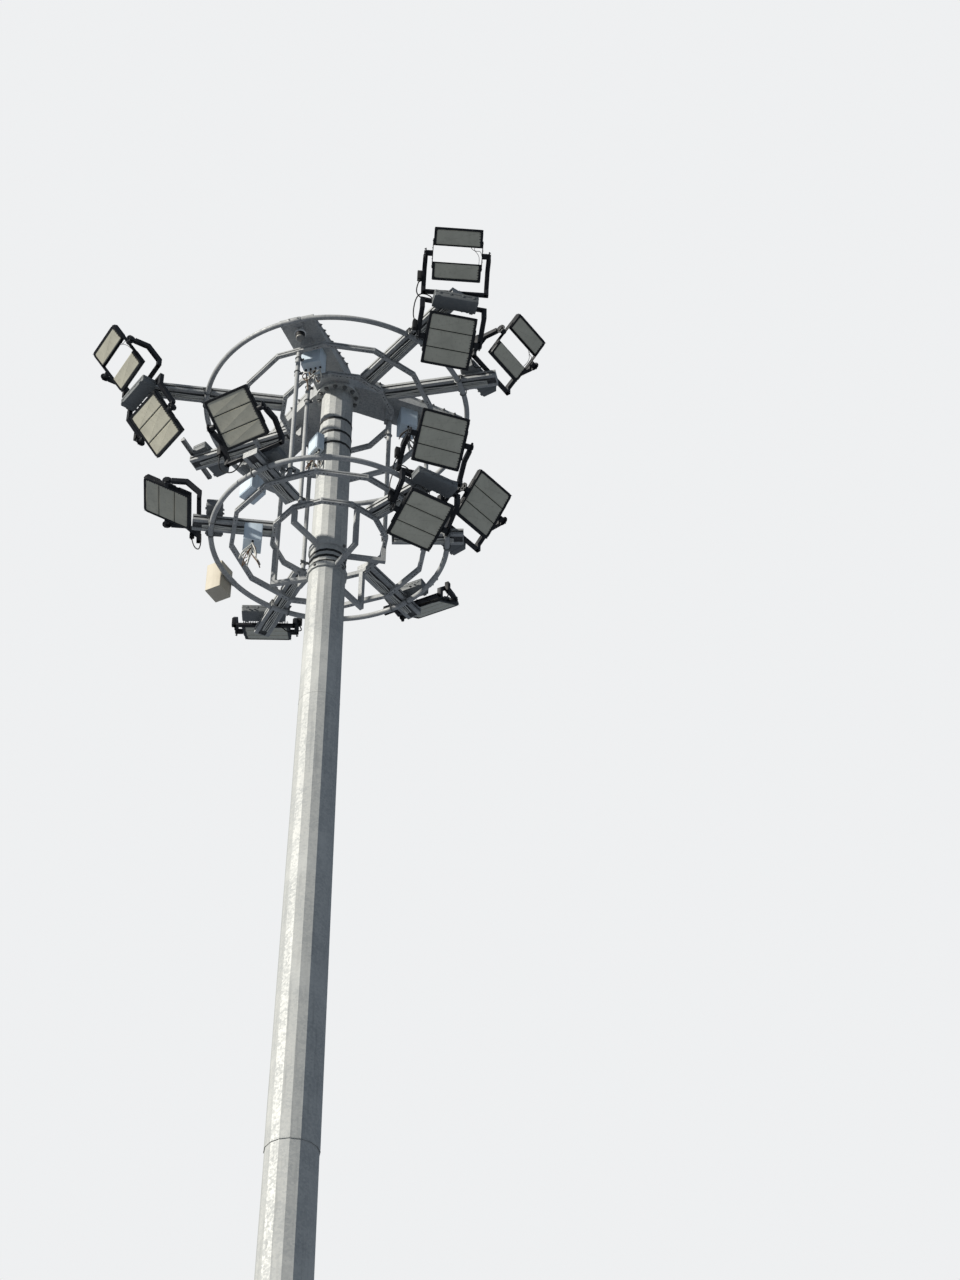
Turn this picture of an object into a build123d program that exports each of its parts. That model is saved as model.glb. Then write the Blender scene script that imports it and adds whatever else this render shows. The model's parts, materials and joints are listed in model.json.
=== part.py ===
"""High mast floodlight tower: a 16-sided tapered steel mast with a two-tier ring headframe
that carries twelve three-module floodlights on outrigger arms.

The origin is the centre of the base flange's underside, +Z is up and lengths are millimetres.
Azimuths are measured anticlockwise from +X, seen from above.
"""

import os
from math import atan2, cos, degrees, pi, radians, sin

from build123d import *

os.makedirs("parts", exist_ok=True)

# Mast
mast_sides = 16
mast_taper = 0.0165
mast_top_width = 355
mast_top_z = 25400
section_overlap = 800
lower_joint_z = 7400
upper_joint_z = 15400
bottom_wall = 10
middle_wall = 8
top_wall = 6
section_fit = 0.3
door_azimuth = 270
door_width = 250
door_height = 950
door_sill_z = 550
door_frame_wall = 16
door_frame_depth = 60
door_lap = 10
door_thickness = 8

# Base flange
flange_diameter = 1120
flange_thickness = 50
flange_bore = 560
rim_sides = 48
anchor_count = 12
anchor_circle = 980
anchor_hole = 42

# Top flange and headframe
top_flange_diameter = 500
top_flange_thickness = 25
head_plate_thickness = 20
head_cable_hole = 180
box_arm_count = 3
box_arm_azimuth = 3.8
box_arm_width = 400
box_arm_root = 260
box_arm_root_height = 200
box_arm_tip_height = 60
box_arm_fall = 225
box_arm_plate = 8

# Rings of the two tiers
upper_tier_drop = 240
tier_spacing = 2000
upper_tier_z = mast_top_z - upper_tier_drop
lower_tier_z = upper_tier_z - tier_spacing
ring_tube = 60
ring_tube_sides = 8
ring_facets = 48
upper_ring_radius = 1500
ring_overhang = 60
box_arm_reach = upper_ring_radius - ring_overhang
lower_ring_radius = 1308
polygon_ring_sides = 12
mid_ring_radius = 1118
inner_ring_radius = 660
polygon_ring_tube = 50
seat_gap = 0.2
ring_joint_gap = 2
hanger_width = 120
hanger_length = 90
post_tube = 50
post_tube_sides = 12
post_azimuth = 238.5
inner_post_azimuth = 231

# Guide collar of the lower tier
collar_band_height = 60
collar_band_wall = 18
collar_top_drop = 230
collar_bottom_drop = 560
collar_top_z = lower_tier_z - collar_top_drop
collar_bottom_z = lower_tier_z - collar_bottom_drop
strut_tube = 50
upper_strut_azimuths = (0, 112.5, 225)
lower_strut_azimuths = (45, 157.5, 292.5)

# Outrigger arms
beam_width = 45
beam_height = 80
beam_gap = 90
beam_wall = 4
beam_slot = 24
arm_plate = 8
tray_height = 45
tray_lift = 12
tray_sheet = 2
tray_fit = 1
arm_end_past_foot = 60

# Floodlights
lamp_width = 540
module_height = 186
module_gap = 12
module_depth = 46
rim_width = 12
lens_recess = 6
fin_count = 4
fin_depth = 34
fin_thickness = 8
end_plate_height = 330
end_plate_thickness = 8
pivot_back = 20
boss_diameter = 64
boss_sides = 8
pin_diameter = 20
pin_sides = 8
pin_clearance = 0.4
running_gap = 0.5
bracket_inner_width = 690
bracket_bar = 50
bracket_thickness = 10
bracket_reach = 367
bracket_rise = 240
bracket_knee = 90
hanging_reach = 180
hanging_drop = 405
hanging_knee = 150
aim_disc_diameter = 110
aim_disc_sides = 12
aim_disc_thickness = 14

# Driver boxes, junction boxes and the dome camera
driver_length = 500
driver_depth = 180
driver_height = 100
driver_ahead = 90
driver_behind = 170
bare_arm_driver = (1780, 139)
shared_arms = ("upper_arm_a", "upper_arm_c", "lower_arm_i")
junction_size = (230, 200, 240)
junction_radius = 830
junction_along = 240
ring_box_azimuth = 210
hung_box_azimuth = 141.8
hung_box_height = 380
mast_box_azimuth = 202.5
mast_box_drop = 650
dome_inset = 210
dome_stem = 60
dome_diameter = 150
dome_skirt = 60
dome_sides = 12
dome_levels = (0, 35, 65)

tier_z = {"upper": upper_tier_z, "lower": lower_tier_z}
ring_top = {name: z + ring_tube / 2 for name, z in tier_z.items()}
beam_bottom = {name: z + seat_gap for name, z in ring_top.items()}
beam_top = {name: z + beam_height for name, z in beam_bottom.items()}

# Name: tier, inner end (radius, azimuth), lamp foot (radius, azimuth)
arms = {
    "upper_arm_a": ("upper", (600, 297), (2225, 298.3)),
    "upper_arm_b": ("upper", (600, 324), (1848, 334.0)),
    "upper_arm_c": ("upper", (600, 178.8), (2215, 178.3)),
    "upper_arm_d": ("upper", (700, 134.8), (1880, 142.5)),
    "lower_arm_e": ("lower", (600, 179.5), (1449, 178.2)),
    "lower_arm_f": ("lower", (700, 109.5), (1767, 107.6)),
    "lower_arm_g": ("lower", (620, 43.3), (1520, 44.5)),
    "lower_arm_h": ("lower", (700, 350.0), (1420, 350.0)),
    "lower_arm_i": ("lower", (600, 313.0), (1450, 311.8)),
    "lower_arm_j": ("lower", (700, 227.0), (1450, 228.2)),
}

# Number: arm, foot (radius, azimuth), standing or hanging, azimuth faced, tilt below level, open bay
floodlights = {
    1: ("upper_arm_a", (2225, 298.1), "standing", 264.8, 47, True),
    2: ("upper_arm_a", (2160, 299.0), "hanging", 273.8, 50, False),
    3: ("upper_arm_b", (1848, 333.6), "standing", 316.3, 44, True),
    4: ("upper_arm_c", (2215, 178.8), "standing", 200.8, 45, True),
    5: ("upper_arm_c", (2200, 177.6), "hanging", 205.8, 45, False),
    6: ("lower_arm_j", (1447, 228.3), "standing", 229.8, 57, False),
    7: ("lower_arm_i", (1430, 311.6), "standing", 279.8, 40, False),
    8: ("lower_arm_i", (1440, 311.7), "hanging", 292.8, 62, False),
    9: ("lower_arm_h", (1420, 350.0), "standing", 310.8, 38, False),
    10: ("lower_arm_e", (1449, 177.8), "standing", 174.8, 64, False),
    11: ("lower_arm_f", (1767, 107.5), "standing", 80.8, 64, False),
    12: ("lower_arm_g", (1483, 42.5), "standing", 52.8, 57, False),
}


def polar(radius, azimuth, z=0):
    """Returns the point at a radius, azimuth and height."""
    return Vector(radius * cos(radians(azimuth)), radius * sin(radians(azimuth)), z)


def keep(piece, name):
    """Labels a finished piece and writes it to its own file."""
    piece.label = name
    export_step(piece, f"parts/{name}.step")


def width_at(z, reference_width, reference_z):
    """Returns a mast section's width across flats at a height."""
    return reference_width + mast_taper * (reference_z - z)


def mast_polygon(width):
    """Adds the mast's polygon of a given width across flats to the open sketch."""
    half_side = 180 / mast_sides
    RegularPolygon(width / 2, mast_sides, major_radius=False, rotation=half_side)


def mast_shell(low_z, high_z, low_width, wall):
    """Makes one hollow tapered mast section between two heights."""
    taper_angle = Vector(1, mast_taper / 2, 0).get_angle(Vector(1, 0, 0))
    with BuildPart() as shell:
        with BuildSketch(Plane.XY.offset(low_z)):
            mast_polygon(low_width)
        extrude(amount=high_z - low_z, taper=taper_angle)
        with BuildSketch(Plane.XY.offset(low_z)):
            mast_polygon(low_width - 2 * wall)
        extrude(amount=high_z - low_z, taper=taper_angle, mode=Mode.SUBTRACT)
    return shell


# Mast sections, each sleeved over the one below it
top_low_width = width_at(upper_joint_z, mast_top_width, mast_top_z)
middle_joint_width = top_low_width - 2 * (top_wall + section_fit)
middle_low_width = width_at(lower_joint_z, middle_joint_width, upper_joint_z)
bottom_joint_width = middle_low_width - 2 * (middle_wall + section_fit)
bottom_low_width = width_at(flange_thickness, bottom_joint_width, lower_joint_z)

top_section = mast_shell(upper_joint_z, mast_top_z, top_low_width, top_wall)
keep(top_section.part, "mast_top_section")
middle_section = mast_shell(lower_joint_z, upper_joint_z + section_overlap, middle_low_width, middle_wall)
keep(middle_section.part, "mast_middle_section")

door_face = width_at(door_sill_z, bottom_joint_width, lower_joint_z) / 2
door_mid_z = door_sill_z + door_height / 2
door_axis = Plane(polar(door_face, door_azimuth, door_mid_z), x_dir=(1, 0, 0), z_dir=polar(1, door_azimuth))

with BuildPart() as bottom_section:
    add(mast_shell(flange_thickness, lower_joint_z + section_overlap, bottom_low_width, bottom_wall).part)
    with BuildSketch(door_axis.offset(-door_frame_depth - bottom_wall)):
        cut_wall = door_frame_wall + seat_gap
        RectangleRounded(door_width + 2 * cut_wall, door_height + 2 * cut_wall, door_width / 2)
    extrude(amount=2 * door_frame_depth, mode=Mode.SUBTRACT)
keep(bottom_section.part, "mast_bottom_section")

with BuildPart() as door_frame:
    with BuildSketch(door_axis.offset(-door_frame_depth)):
        outer_width = door_width + 2 * door_frame_wall
        RectangleRounded(outer_width, door_height + 2 * door_frame_wall, door_width / 2)
        RectangleRounded(door_width, door_height, door_width / 2 - 1, mode=Mode.SUBTRACT)
    extrude(amount=door_frame_depth + door_lap)
keep(door_frame.part, "door_frame")

with BuildPart() as base_door:
    with BuildSketch(door_axis.offset(door_lap)):
        lap = 2 * door_lap
        RectangleRounded(door_width + lap, door_height + lap, door_width / 2)
    extrude(amount=door_thickness)
keep(base_door.part, "base_door")

with BuildPart() as base_flange:
    with BuildSketch():
        RegularPolygon(flange_diameter / 2, rim_sides)
        RegularPolygon(flange_bore / 2, rim_sides, mode=Mode.SUBTRACT)
        with PolarLocations(anchor_circle / 2, anchor_count):
            Circle(anchor_hole / 2, mode=Mode.SUBTRACT)
    extrude(amount=flange_thickness)
keep(base_flange.part, "base_flange")

# Top flange and headframe
with BuildPart() as top_flange:
    with BuildSketch(Plane.XY.offset(mast_top_z)):
        RegularPolygon(top_flange_diameter / 2, rim_sides)
        RegularPolygon(mast_top_width / 2 - 2 * top_wall, rim_sides, mode=Mode.SUBTRACT)
    extrude(amount=top_flange_thickness)
keep(top_flange.part, "mast_top_flange")

head_z = mast_top_z + top_flange_thickness
box_arm_bottom = head_z + head_plate_thickness
box_azimuths = [box_arm_azimuth + 360 / box_arm_count * i for i in range(box_arm_count)]


def arm_underside(radius):
    """Returns the height of a box arm's underside, level over the head plate and sloping to the tip."""
    slope = box_arm_fall / (box_arm_reach - box_arm_root)
    run = min(max(radius - box_arm_root, 0), box_arm_reach - box_arm_root)
    return box_arm_bottom - slope * run


def side_block(azimuth, width, corners):
    """Makes a block from a side profile of (radius, height) points, centred on an azimuth."""
    side = Plane((0, 0, 0), x_dir=polar(1, azimuth), z_dir=polar(1, azimuth - 90))
    with BuildPart() as block:
        with BuildSketch(side.offset(-width / 2)):
            Polygon(*corners, align=None)
        extrude(amount=width)
    return block.part


def under_arm(azimuth, near, far, low, width):
    """Makes a block between a height and the sloping underside of a box arm."""
    tops = [radius for radius in (far, box_arm_reach, near) if near <= radius <= far]
    ceiling = [(radius, arm_underside(radius)) for radius in sorted(set(tops), reverse=True)]
    return side_block(azimuth, width, [(near, low), (far, low), *ceiling])


arm_profile = [
    (0, box_arm_bottom),
    (box_arm_root, box_arm_bottom),
    (box_arm_reach, box_arm_bottom - box_arm_fall),
    (box_arm_reach, box_arm_bottom - box_arm_fall + box_arm_tip_height),
    (box_arm_root, box_arm_bottom + box_arm_root_height),
    (0, box_arm_bottom + box_arm_root_height),
]
hollow_reach = box_arm_reach - box_arm_plate
hollow_profile = [
    (0, box_arm_bottom + box_arm_plate),
    (box_arm_root, box_arm_bottom + box_arm_plate),
    (hollow_reach, arm_underside(hollow_reach) + box_arm_plate),
    (hollow_reach, arm_underside(box_arm_reach) + box_arm_tip_height - box_arm_plate),
    (box_arm_root, box_arm_bottom + box_arm_root_height - box_arm_plate),
    (0, box_arm_bottom + box_arm_root_height - box_arm_plate),
]

with BuildPart() as head_frame:
    with BuildSketch(Plane.XY.offset(head_z)):
        RegularPolygon(top_flange_diameter / 2, rim_sides)
    extrude(amount=head_plate_thickness)
    for azimuth in box_azimuths:
        add(side_block(azimuth, box_arm_width, arm_profile))
    for azimuth in box_azimuths:
        add(side_block(azimuth, box_arm_width - 2 * box_arm_plate, hollow_profile), mode=Mode.SUBTRACT)
    with BuildSketch(Plane.XY.offset(head_z)):
        RegularPolygon(head_cable_hole / 2, mast_sides)
    extrude(amount=head_plate_thickness + 2 * box_arm_plate, mode=Mode.SUBTRACT)
keep(head_frame.part, "head_frame")


def rolled_ring(radius, z, first, turn):
    """Makes a ring or arc of rolled tube in short straight runs, with the middle of one at its start."""
    half_run = 180 / ring_facets
    runs = round(turn / (2 * half_run))
    reach = radius / cos(radians(half_run))
    knees = [polar(reach, first + half_run * (2 * i + 1), z) for i in range(runs)]
    start = polar(radius, first, z)
    with BuildPart() as ring:
        with BuildLine():
            Polyline(start, *knees, polar(radius, first + turn, z))
        with BuildSketch(Plane(start, x_dir=polar(1, first), z_dir=knees[0] - start)):
            RegularPolygon(ring_tube / 2, ring_tube_sides, major_radius=False, rotation=180 / ring_tube_sides)
        sweep(transition=Transition.RIGHT)
    return ring.part


# Outer rings of rolled tube: the upper one is three arcs that meet under the box arms
arc_angle = 360 / box_arm_count
gap_angle = ring_joint_gap / upper_ring_radius * 180 / pi
with BuildPart() as upper_outer_ring:
    for azimuth in box_azimuths:
        add(rolled_ring(upper_ring_radius, upper_tier_z, azimuth, arc_angle - gap_angle))
keep(upper_outer_ring.part, "upper_outer_ring")
keep(rolled_ring(lower_ring_radius, lower_tier_z, hung_box_azimuth, 360), "lower_outer_ring")


def polygon_ring(radius, top):
    """Makes a 12-sided ring of square tube with its flats at the main azimuths."""
    half_side = 180 / polygon_ring_sides
    with BuildPart() as ring:
        with BuildSketch(Plane.XY.offset(top - polygon_ring_tube)):
            RegularPolygon(radius, polygon_ring_sides, rotation=half_side)
            RegularPolygon(radius - polygon_ring_tube, polygon_ring_sides, rotation=half_side, mode=Mode.SUBTRACT)
        extrude(amount=polygon_ring_tube)
    return ring


for tier, top in ring_top.items():
    keep(polygon_ring(mid_ring_radius, top).part, f"{tier}_mid_ring")
    keep(polygon_ring(inner_ring_radius, top).part, f"{tier}_inner_ring")

# Hangers carry the upper rings under the box arms
mid_ring_flat = mid_ring_radius * cos(pi / polygon_ring_sides) - polygon_ring_tube / 2
inner_ring_flat = inner_ring_radius * cos(pi / polygon_ring_sides) - polygon_ring_tube / 2
hanger_bottom = ring_top["upper"] + seat_gap
with BuildPart() as ring_hangers:
    for azimuth in box_azimuths:
        for radius in (inner_ring_flat, mid_ring_flat, box_arm_reach):
            length = hanger_length if radius < box_arm_reach else 2 * ring_overhang
            add(under_arm(azimuth, radius - length / 2, radius + length / 2, hanger_bottom, hanger_width))
keep(ring_hangers.part, "ring_hangers")

# Posts between the tiers
post_low = ring_top["lower"]
post_high = ring_top["upper"] - polygon_ring_tube
with BuildPart() as tier_posts:
    with BuildSketch(Plane.XY.offset(post_low)):
        for radius, first in ((mid_ring_flat, post_azimuth), (inner_ring_flat, inner_post_azimuth)):
            with PolarLocations(radius, 3, start_angle=first):
                RegularPolygon(post_tube / 2, post_tube_sides)
    extrude(amount=post_high - post_low)
keep(tier_posts.part, "tier_posts")

# Guide collar: two bands round the mast, and radial struts from them to the lower inner ring
collar_levels = ((collar_top_z, upper_strut_azimuths), (collar_bottom_z, lower_strut_azimuths))
with BuildPart() as collar_bands:
    for band_z, strut_azimuths in collar_levels:
        inner_width = width_at(band_z, mast_top_width, mast_top_z) + 2 * section_fit
        with BuildSketch(Plane.XY.offset(band_z)):
            mast_polygon(inner_width + 2 * collar_band_wall)
        extrude(amount=collar_band_height)
        with BuildSketch(Plane.XY.offset(band_z)):
            mast_polygon(inner_width)
        extrude(amount=collar_band_height, mode=Mode.SUBTRACT)
keep(collar_bands.part, "collar_bands")

hanger_top = ring_top["lower"] - polygon_ring_tube - seat_gap
with BuildPart() as collar_struts:
    for band_z, strut_azimuths in collar_levels:
        band_flat = width_at(band_z, mast_top_width, mast_top_z) / 2 + section_fit + collar_band_wall
        strut_root = band_flat + seat_gap
        strut_z = band_z + collar_band_height / 2
        for azimuth in strut_azimuths:
            with BuildSketch(Plane(polar(strut_root, azimuth, strut_z), x_dir=(0, 0, 1), z_dir=polar(1, azimuth))):
                Rectangle(strut_tube, strut_tube)
            extrude(amount=inner_ring_flat - strut_root + strut_tube / 2)
            upright = Plane(polar(inner_ring_flat, azimuth, strut_z), x_dir=polar(1, azimuth), z_dir=(0, 0, 1))
            with BuildSketch(upright):
                Rectangle(strut_tube, strut_tube)
            extrude(amount=hanger_top - strut_z)
keep(collar_struts.part, "collar_struts")


def arm_line(name):
    """Returns an arm's inner end, its direction and its length, at the beams' underside."""
    tier, inner, foot = arms[name]
    start = polar(*inner, beam_bottom[tier])
    toward = polar(*foot, beam_bottom[tier]) - start
    return start, toward.normalized(), toward.length + arm_end_past_foot


# Outrigger arms: twin slotted channels between two end plates, with a cable tray between them
arm_width = beam_gap + 2 * beam_width
with BuildPart() as cable_trays:
    for name in arms:
        start, direction, length = arm_line(name)
        root = Plane(start, x_dir=Vector(0, 0, 1).cross(direction), z_dir=direction)
        with BuildSketch(root):
            with Locations((0, tray_lift + tray_height / 2)):
                Rectangle(beam_gap - 2 * tray_fit, tray_height)
            with Locations((0, tray_lift + tray_height / 2 + tray_sheet)):
                Rectangle(beam_gap - 2 * tray_fit - 2 * tray_sheet, tray_height, mode=Mode.SUBTRACT)
        extrude(amount=length)
keep(cable_trays.part, "cable_trays")

for name in arms:
    start, direction, length = arm_line(name)
    root = Plane(start, x_dir=Vector(0, 0, 1).cross(direction), z_dir=direction)
    with BuildPart() as arm:
        with BuildSketch(root):
            for side in (-1, 1):
                with Locations((side * (beam_gap + beam_width) / 2, beam_height / 2)):
                    Rectangle(beam_width, beam_height)
                    Rectangle(beam_width - 2 * beam_wall, beam_height - 2 * beam_wall, mode=Mode.SUBTRACT)
                with Locations((side * (beam_gap / 2 + beam_width - beam_wall), beam_height / 2)):
                    Rectangle(2 * beam_wall + 2, beam_slot, mode=Mode.SUBTRACT)
        extrude(amount=length)
        with BuildSketch(root.offset(-arm_plate), root.offset(length)):
            with Locations((0, beam_height / 2)):
                Rectangle(arm_width, beam_height)
        extrude(amount=arm_plate)
    keep(arm.part, name)


# Floodlight: modules stacked between two end plates, turning on a pin at each side
module_pitch = module_height + module_gap
housing_back = -(module_depth - pivot_back)
bracket_outer = bracket_inner_width / 2 + bracket_thickness
bracket_clear = (bracket_inner_width - lamp_width) / 2


def floodlight(open_bay):
    """Makes one lamp about its pivot: X along the pins, Y out of the face, Z up the face."""
    bays = (-1, 1) if open_bay else (-1, 0, 1)
    with BuildPart() as lamp:
        with BuildSketch(Plane.XZ.offset(-pivot_back)):
            with Locations(*[(0, bay * module_pitch) for bay in bays]):
                Rectangle(lamp_width, module_height)
        extrude(amount=module_depth)
        with BuildSketch(Plane.XZ.offset(-pivot_back)):
            with Locations(*[(0, bay * module_pitch) for bay in bays]):
                Rectangle(lamp_width - 2 * rim_width, module_height - 2 * rim_width)
        extrude(amount=lens_recess, mode=Mode.SUBTRACT)
        with BuildSketch(Plane.XZ.offset(-housing_back)):
            fin_pitch = (lamp_width - 4 * rim_width) / (fin_count - 1)
            for bay in bays:
                with Locations((0, bay * module_pitch)):
                    with GridLocations(fin_pitch, 1, fin_count, 1):
                        Rectangle(fin_thickness, module_height - 2 * rim_width)
        extrude(amount=fin_depth)
        for side in (-1, 1):
            outward = Plane((side * lamp_width / 2, 0, 0), x_dir=(0, 1, 0), z_dir=(side, 0, 0))
            with BuildSketch(outward):
                with Locations((housing_back / 2 + lens_recess / 2, 0)):
                    Rectangle(module_depth, end_plate_height)
            extrude(amount=end_plate_thickness)
            with BuildSketch(outward.offset(end_plate_thickness)):
                RegularPolygon(boss_diameter / 2, boss_sides)
            extrude(amount=bracket_clear - end_plate_thickness - running_gap)
            pin_length = bracket_thickness + 2 * running_gap
            with BuildSketch(outward.offset(bracket_clear - running_gap)):
                RegularPolygon(pin_diameter / 2, pin_sides)
            extrude(amount=pin_length)
            with BuildSketch(outward.offset(bracket_clear + bracket_thickness + running_gap)):
                RegularPolygon(boss_diameter / 2, 6)
            extrude(amount=aim_disc_thickness)
    return lamp.part


def bracket(mount):
    """Makes a stirrup about its foot: X across the lamp, Y the way it faces, Z up."""
    if mount == "standing":
        pivot = (bracket_reach, bracket_rise)
        knees = [(0, 0), (0, bracket_knee), (bracket_rise - bracket_knee, bracket_rise), pivot]
        bar_bottom = 0
    else:
        pivot = (-hanging_reach, -hanging_drop)
        shoulder_z = -hanging_knee - hanging_reach
        knees = [(0, 0), (0, -hanging_knee), (-hanging_reach, shoulder_z), pivot]
        bar_bottom = -bracket_thickness
    with BuildPart() as stirrup:
        with BuildSketch(Plane.XY.offset(bar_bottom)):
            Rectangle(2 * bracket_outer, bracket_bar)
        extrude(amount=bracket_thickness)
        for plane in (Plane.YZ.offset(bracket_inner_width / 2), Plane.YZ.offset(-bracket_outer)):
            with BuildSketch(plane):
                with BuildLine():
                    Polyline(*knees)
                trace(line_width=bracket_bar)
                with Locations(pivot):
                    RegularPolygon(aim_disc_diameter / 2, aim_disc_sides)
                    RegularPolygon(pin_diameter / 2 + pin_clearance, pin_sides, major_radius=False, mode=Mode.SUBTRACT)
            extrude(amount=bracket_thickness)
    return stirrup.part, pivot


lamp_shapes = {open_bay: floodlight(open_bay) for open_bay in (True, False)}
bracket_shapes = {mount: bracket(mount) for mount in ("standing", "hanging")}

driver_boxes = []
stirrups = []
for number, (arm_name, foot, mount, azimuth, tilt, open_bay) in floodlights.items():
    tier = arms[arm_name][0]
    foot_z = beam_top[tier] if mount == "standing" else beam_bottom[tier]
    foot_plane = Plane(polar(*foot, foot_z), x_dir=polar(1, azimuth - 90), z_dir=(0, 0, 1))
    shape, pivot = bracket_shapes[mount]
    stirrups.append(shape.moved(foot_plane.location))
    centre = foot_plane.from_local_coords(Vector(0, *pivot))
    facing = polar(cos(radians(tilt)), azimuth, -sin(radians(tilt)))
    upward = polar(sin(radians(tilt)), azimuth, cos(radians(tilt)))
    lamp_plane = Plane(centre, x_dir=facing.cross(upward), z_dir=upward)
    keep(lamp_shapes[open_bay].moved(lamp_plane.location), f"floodlight_{number}")
    print(f"floodlight_{number} pivot", tuple(round(value, 3) for value in centre), "axis azimuth", azimuth + 90)
    if mount == "hanging":
        driver_boxes.append((foot_plane, driver_ahead, -bracket_thickness - driver_height))
    elif arm_name not in shared_arms:
        driver_boxes.append((foot_plane, -driver_behind, 0))

keep(Compound(children=stirrups), "lamp_brackets")

# The fourth upper arm has lost its lamp and keeps the driver box, set across its end
bare_radius, bare_azimuth = bare_arm_driver
bare_end = polar(bare_radius, bare_azimuth, beam_top["upper"])
driver_boxes.append((Plane(bare_end, x_dir=polar(1, bare_azimuth - 90), z_dir=(0, 0, 1)), 0, 0))

with BuildPart() as drivers:
    for foot_plane, forward, low in driver_boxes:
        with BuildSketch(foot_plane.offset(low)):
            with Locations((0, forward)):
                Rectangle(driver_length, driver_depth)
        extrude(amount=driver_height)
keep(drivers.part, "driver_boxes")

# Junction boxes: two under the box arms, and on the mast, the lower rings and an arm
junction_width, junction_depth, junction_height = junction_size
with BuildPart() as junctions:
    for azimuth in box_azimuths[:1] + box_azimuths[2:]:
        near = junction_radius - junction_depth / 2
        far = junction_radius + junction_depth / 2
        add(under_arm(azimuth, near, far, arm_underside(far) - junction_height, junction_width))
    arm_start, arm_direction, arm_length = arm_line("lower_arm_e")
    under = Plane(arm_start + arm_direction * junction_along - Vector(0, 0, junction_height), x_dir=arm_direction)
    with BuildSketch(under):
        Rectangle(junction_depth, junction_width)
    extrude(amount=junction_height)
    above = Plane(polar(mid_ring_flat, ring_box_azimuth, ring_top["lower"]), x_dir=polar(1, ring_box_azimuth))
    with BuildSketch(above):
        Rectangle(junction_depth, junction_width)
    extrude(amount=junction_height)
    outer_face = lower_ring_radius + ring_tube / 2 + seat_gap
    outside = Plane(polar(outer_face, hung_box_azimuth, lower_tier_z), x_dir=(0, 0, 1), z_dir=polar(1, hung_box_azimuth))
    with BuildSketch(outside):
        Rectangle(hung_box_height, junction_width)
    extrude(amount=junction_depth)
    mast_box_z = upper_tier_z - mast_box_drop
    mast_face = width_at(mast_box_z - junction_height / 2, mast_top_width, mast_top_z) / 2 + section_fit
    beside = Plane(polar(mast_face, mast_box_azimuth, mast_box_z), x_dir=(0, 0, 1), z_dir=polar(1, mast_box_azimuth))
    with BuildSketch(beside):
        Rectangle(junction_height, junction_depth)
    extrude(amount=junction_depth / 2)
keep(junctions.part, "junction_boxes")

# Dome camera on a square stem under the tip of the third box arm
dome_radius = upper_ring_radius - dome_inset
dome_top = arm_underside(dome_radius) - dome_stem
half_dome = dome_diameter / 2
with BuildPart() as dome_camera:
    add(under_arm(box_azimuths[2], dome_radius - half_dome / 2, dome_radius + half_dome / 2, dome_top, half_dome))
    with BuildSketch(Plane(polar(dome_radius, box_azimuths[2], dome_top), x_dir=(1, 0, 0), z_dir=(0, 0, -1))):
        RegularPolygon(half_dome, dome_sides)
    extrude(amount=dome_skirt)
    for high, low in zip(dome_levels, dome_levels[1:]):
        drop = half_dome * (sin(radians(low)) - sin(radians(high)))
        draw_in = half_dome * (cos(radians(high)) - cos(radians(low))) * cos(pi / dome_sides)
        level_z = dome_top - dome_skirt - half_dome * sin(radians(high))
        with BuildSketch(Plane(polar(dome_radius, box_azimuths[2], level_z), x_dir=(1, 0, 0), z_dir=(0, 0, -1))):
            RegularPolygon(half_dome * cos(radians(high)), dome_sides)
        extrude(amount=drop, taper=degrees(atan2(draw_in, drop)))
keep(dome_camera.part, "dome_camera")
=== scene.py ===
"""Looks of a high mast floodlight tower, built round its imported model.

Lengths are metres in the model's own frame: the origin is the centre of the base flange's
underside and +Z is up. Azimuths are degrees anticlockwise from +X, seen from above.
"""

import json
from collections import namedtuple
from math import atan2, cos, degrees, pi, radians, sin

import bpy
from mathutils import Matrix, Vector


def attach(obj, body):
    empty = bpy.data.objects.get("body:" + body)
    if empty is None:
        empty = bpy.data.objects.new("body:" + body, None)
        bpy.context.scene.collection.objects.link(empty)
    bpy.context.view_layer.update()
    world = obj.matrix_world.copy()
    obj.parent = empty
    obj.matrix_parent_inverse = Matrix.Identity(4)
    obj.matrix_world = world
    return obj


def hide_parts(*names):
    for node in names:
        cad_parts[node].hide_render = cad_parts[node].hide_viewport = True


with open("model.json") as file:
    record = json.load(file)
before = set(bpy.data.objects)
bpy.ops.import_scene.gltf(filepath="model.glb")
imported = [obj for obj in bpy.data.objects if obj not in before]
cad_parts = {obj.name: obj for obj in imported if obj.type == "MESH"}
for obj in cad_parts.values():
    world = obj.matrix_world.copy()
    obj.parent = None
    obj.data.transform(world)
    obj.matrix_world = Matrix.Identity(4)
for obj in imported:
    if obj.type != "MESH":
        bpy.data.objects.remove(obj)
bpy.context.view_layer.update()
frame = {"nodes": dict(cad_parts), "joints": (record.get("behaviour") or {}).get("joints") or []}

# Sizes shared with the model
mast_sides = 16
mast_taper = 0.0165
mast_top_width = 0.355
mast_top_z = 25.4
flange_diameter = 1.12
flange_bore = 0.56
flange_thickness = 0.05
anchor_circle = 0.98
anchor_count = 12
anchor_hole = 0.042
top_flange_diameter = 0.5
top_flange_bore = 0.332
top_flange_thickness = 0.025
top_bolt_circle = 0.43
top_bolt_count = 12
head_plate_thickness = 0.02
box_arm_azimuths = (3.8, 123.8, 243.8)
box_arm_reach = 1.44
box_arm_width = 0.4
box_arm_root = 0.26
box_arm_root_height = 0.2
box_arm_tip_height = 0.06
box_arm_fall = 0.225
box_arm_bottom = mast_top_z + top_flange_thickness + head_plate_thickness
tier_z = {"upper": 25.16, "lower": 23.16}
ring_tube = 0.06
ring_radius = {"upper": 1.5, "lower": 1.308}
channel_size = 0.05
channel_radius = {"mid": 1.118, "inner": 0.66}
channel_corner = pi / 12
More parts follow.
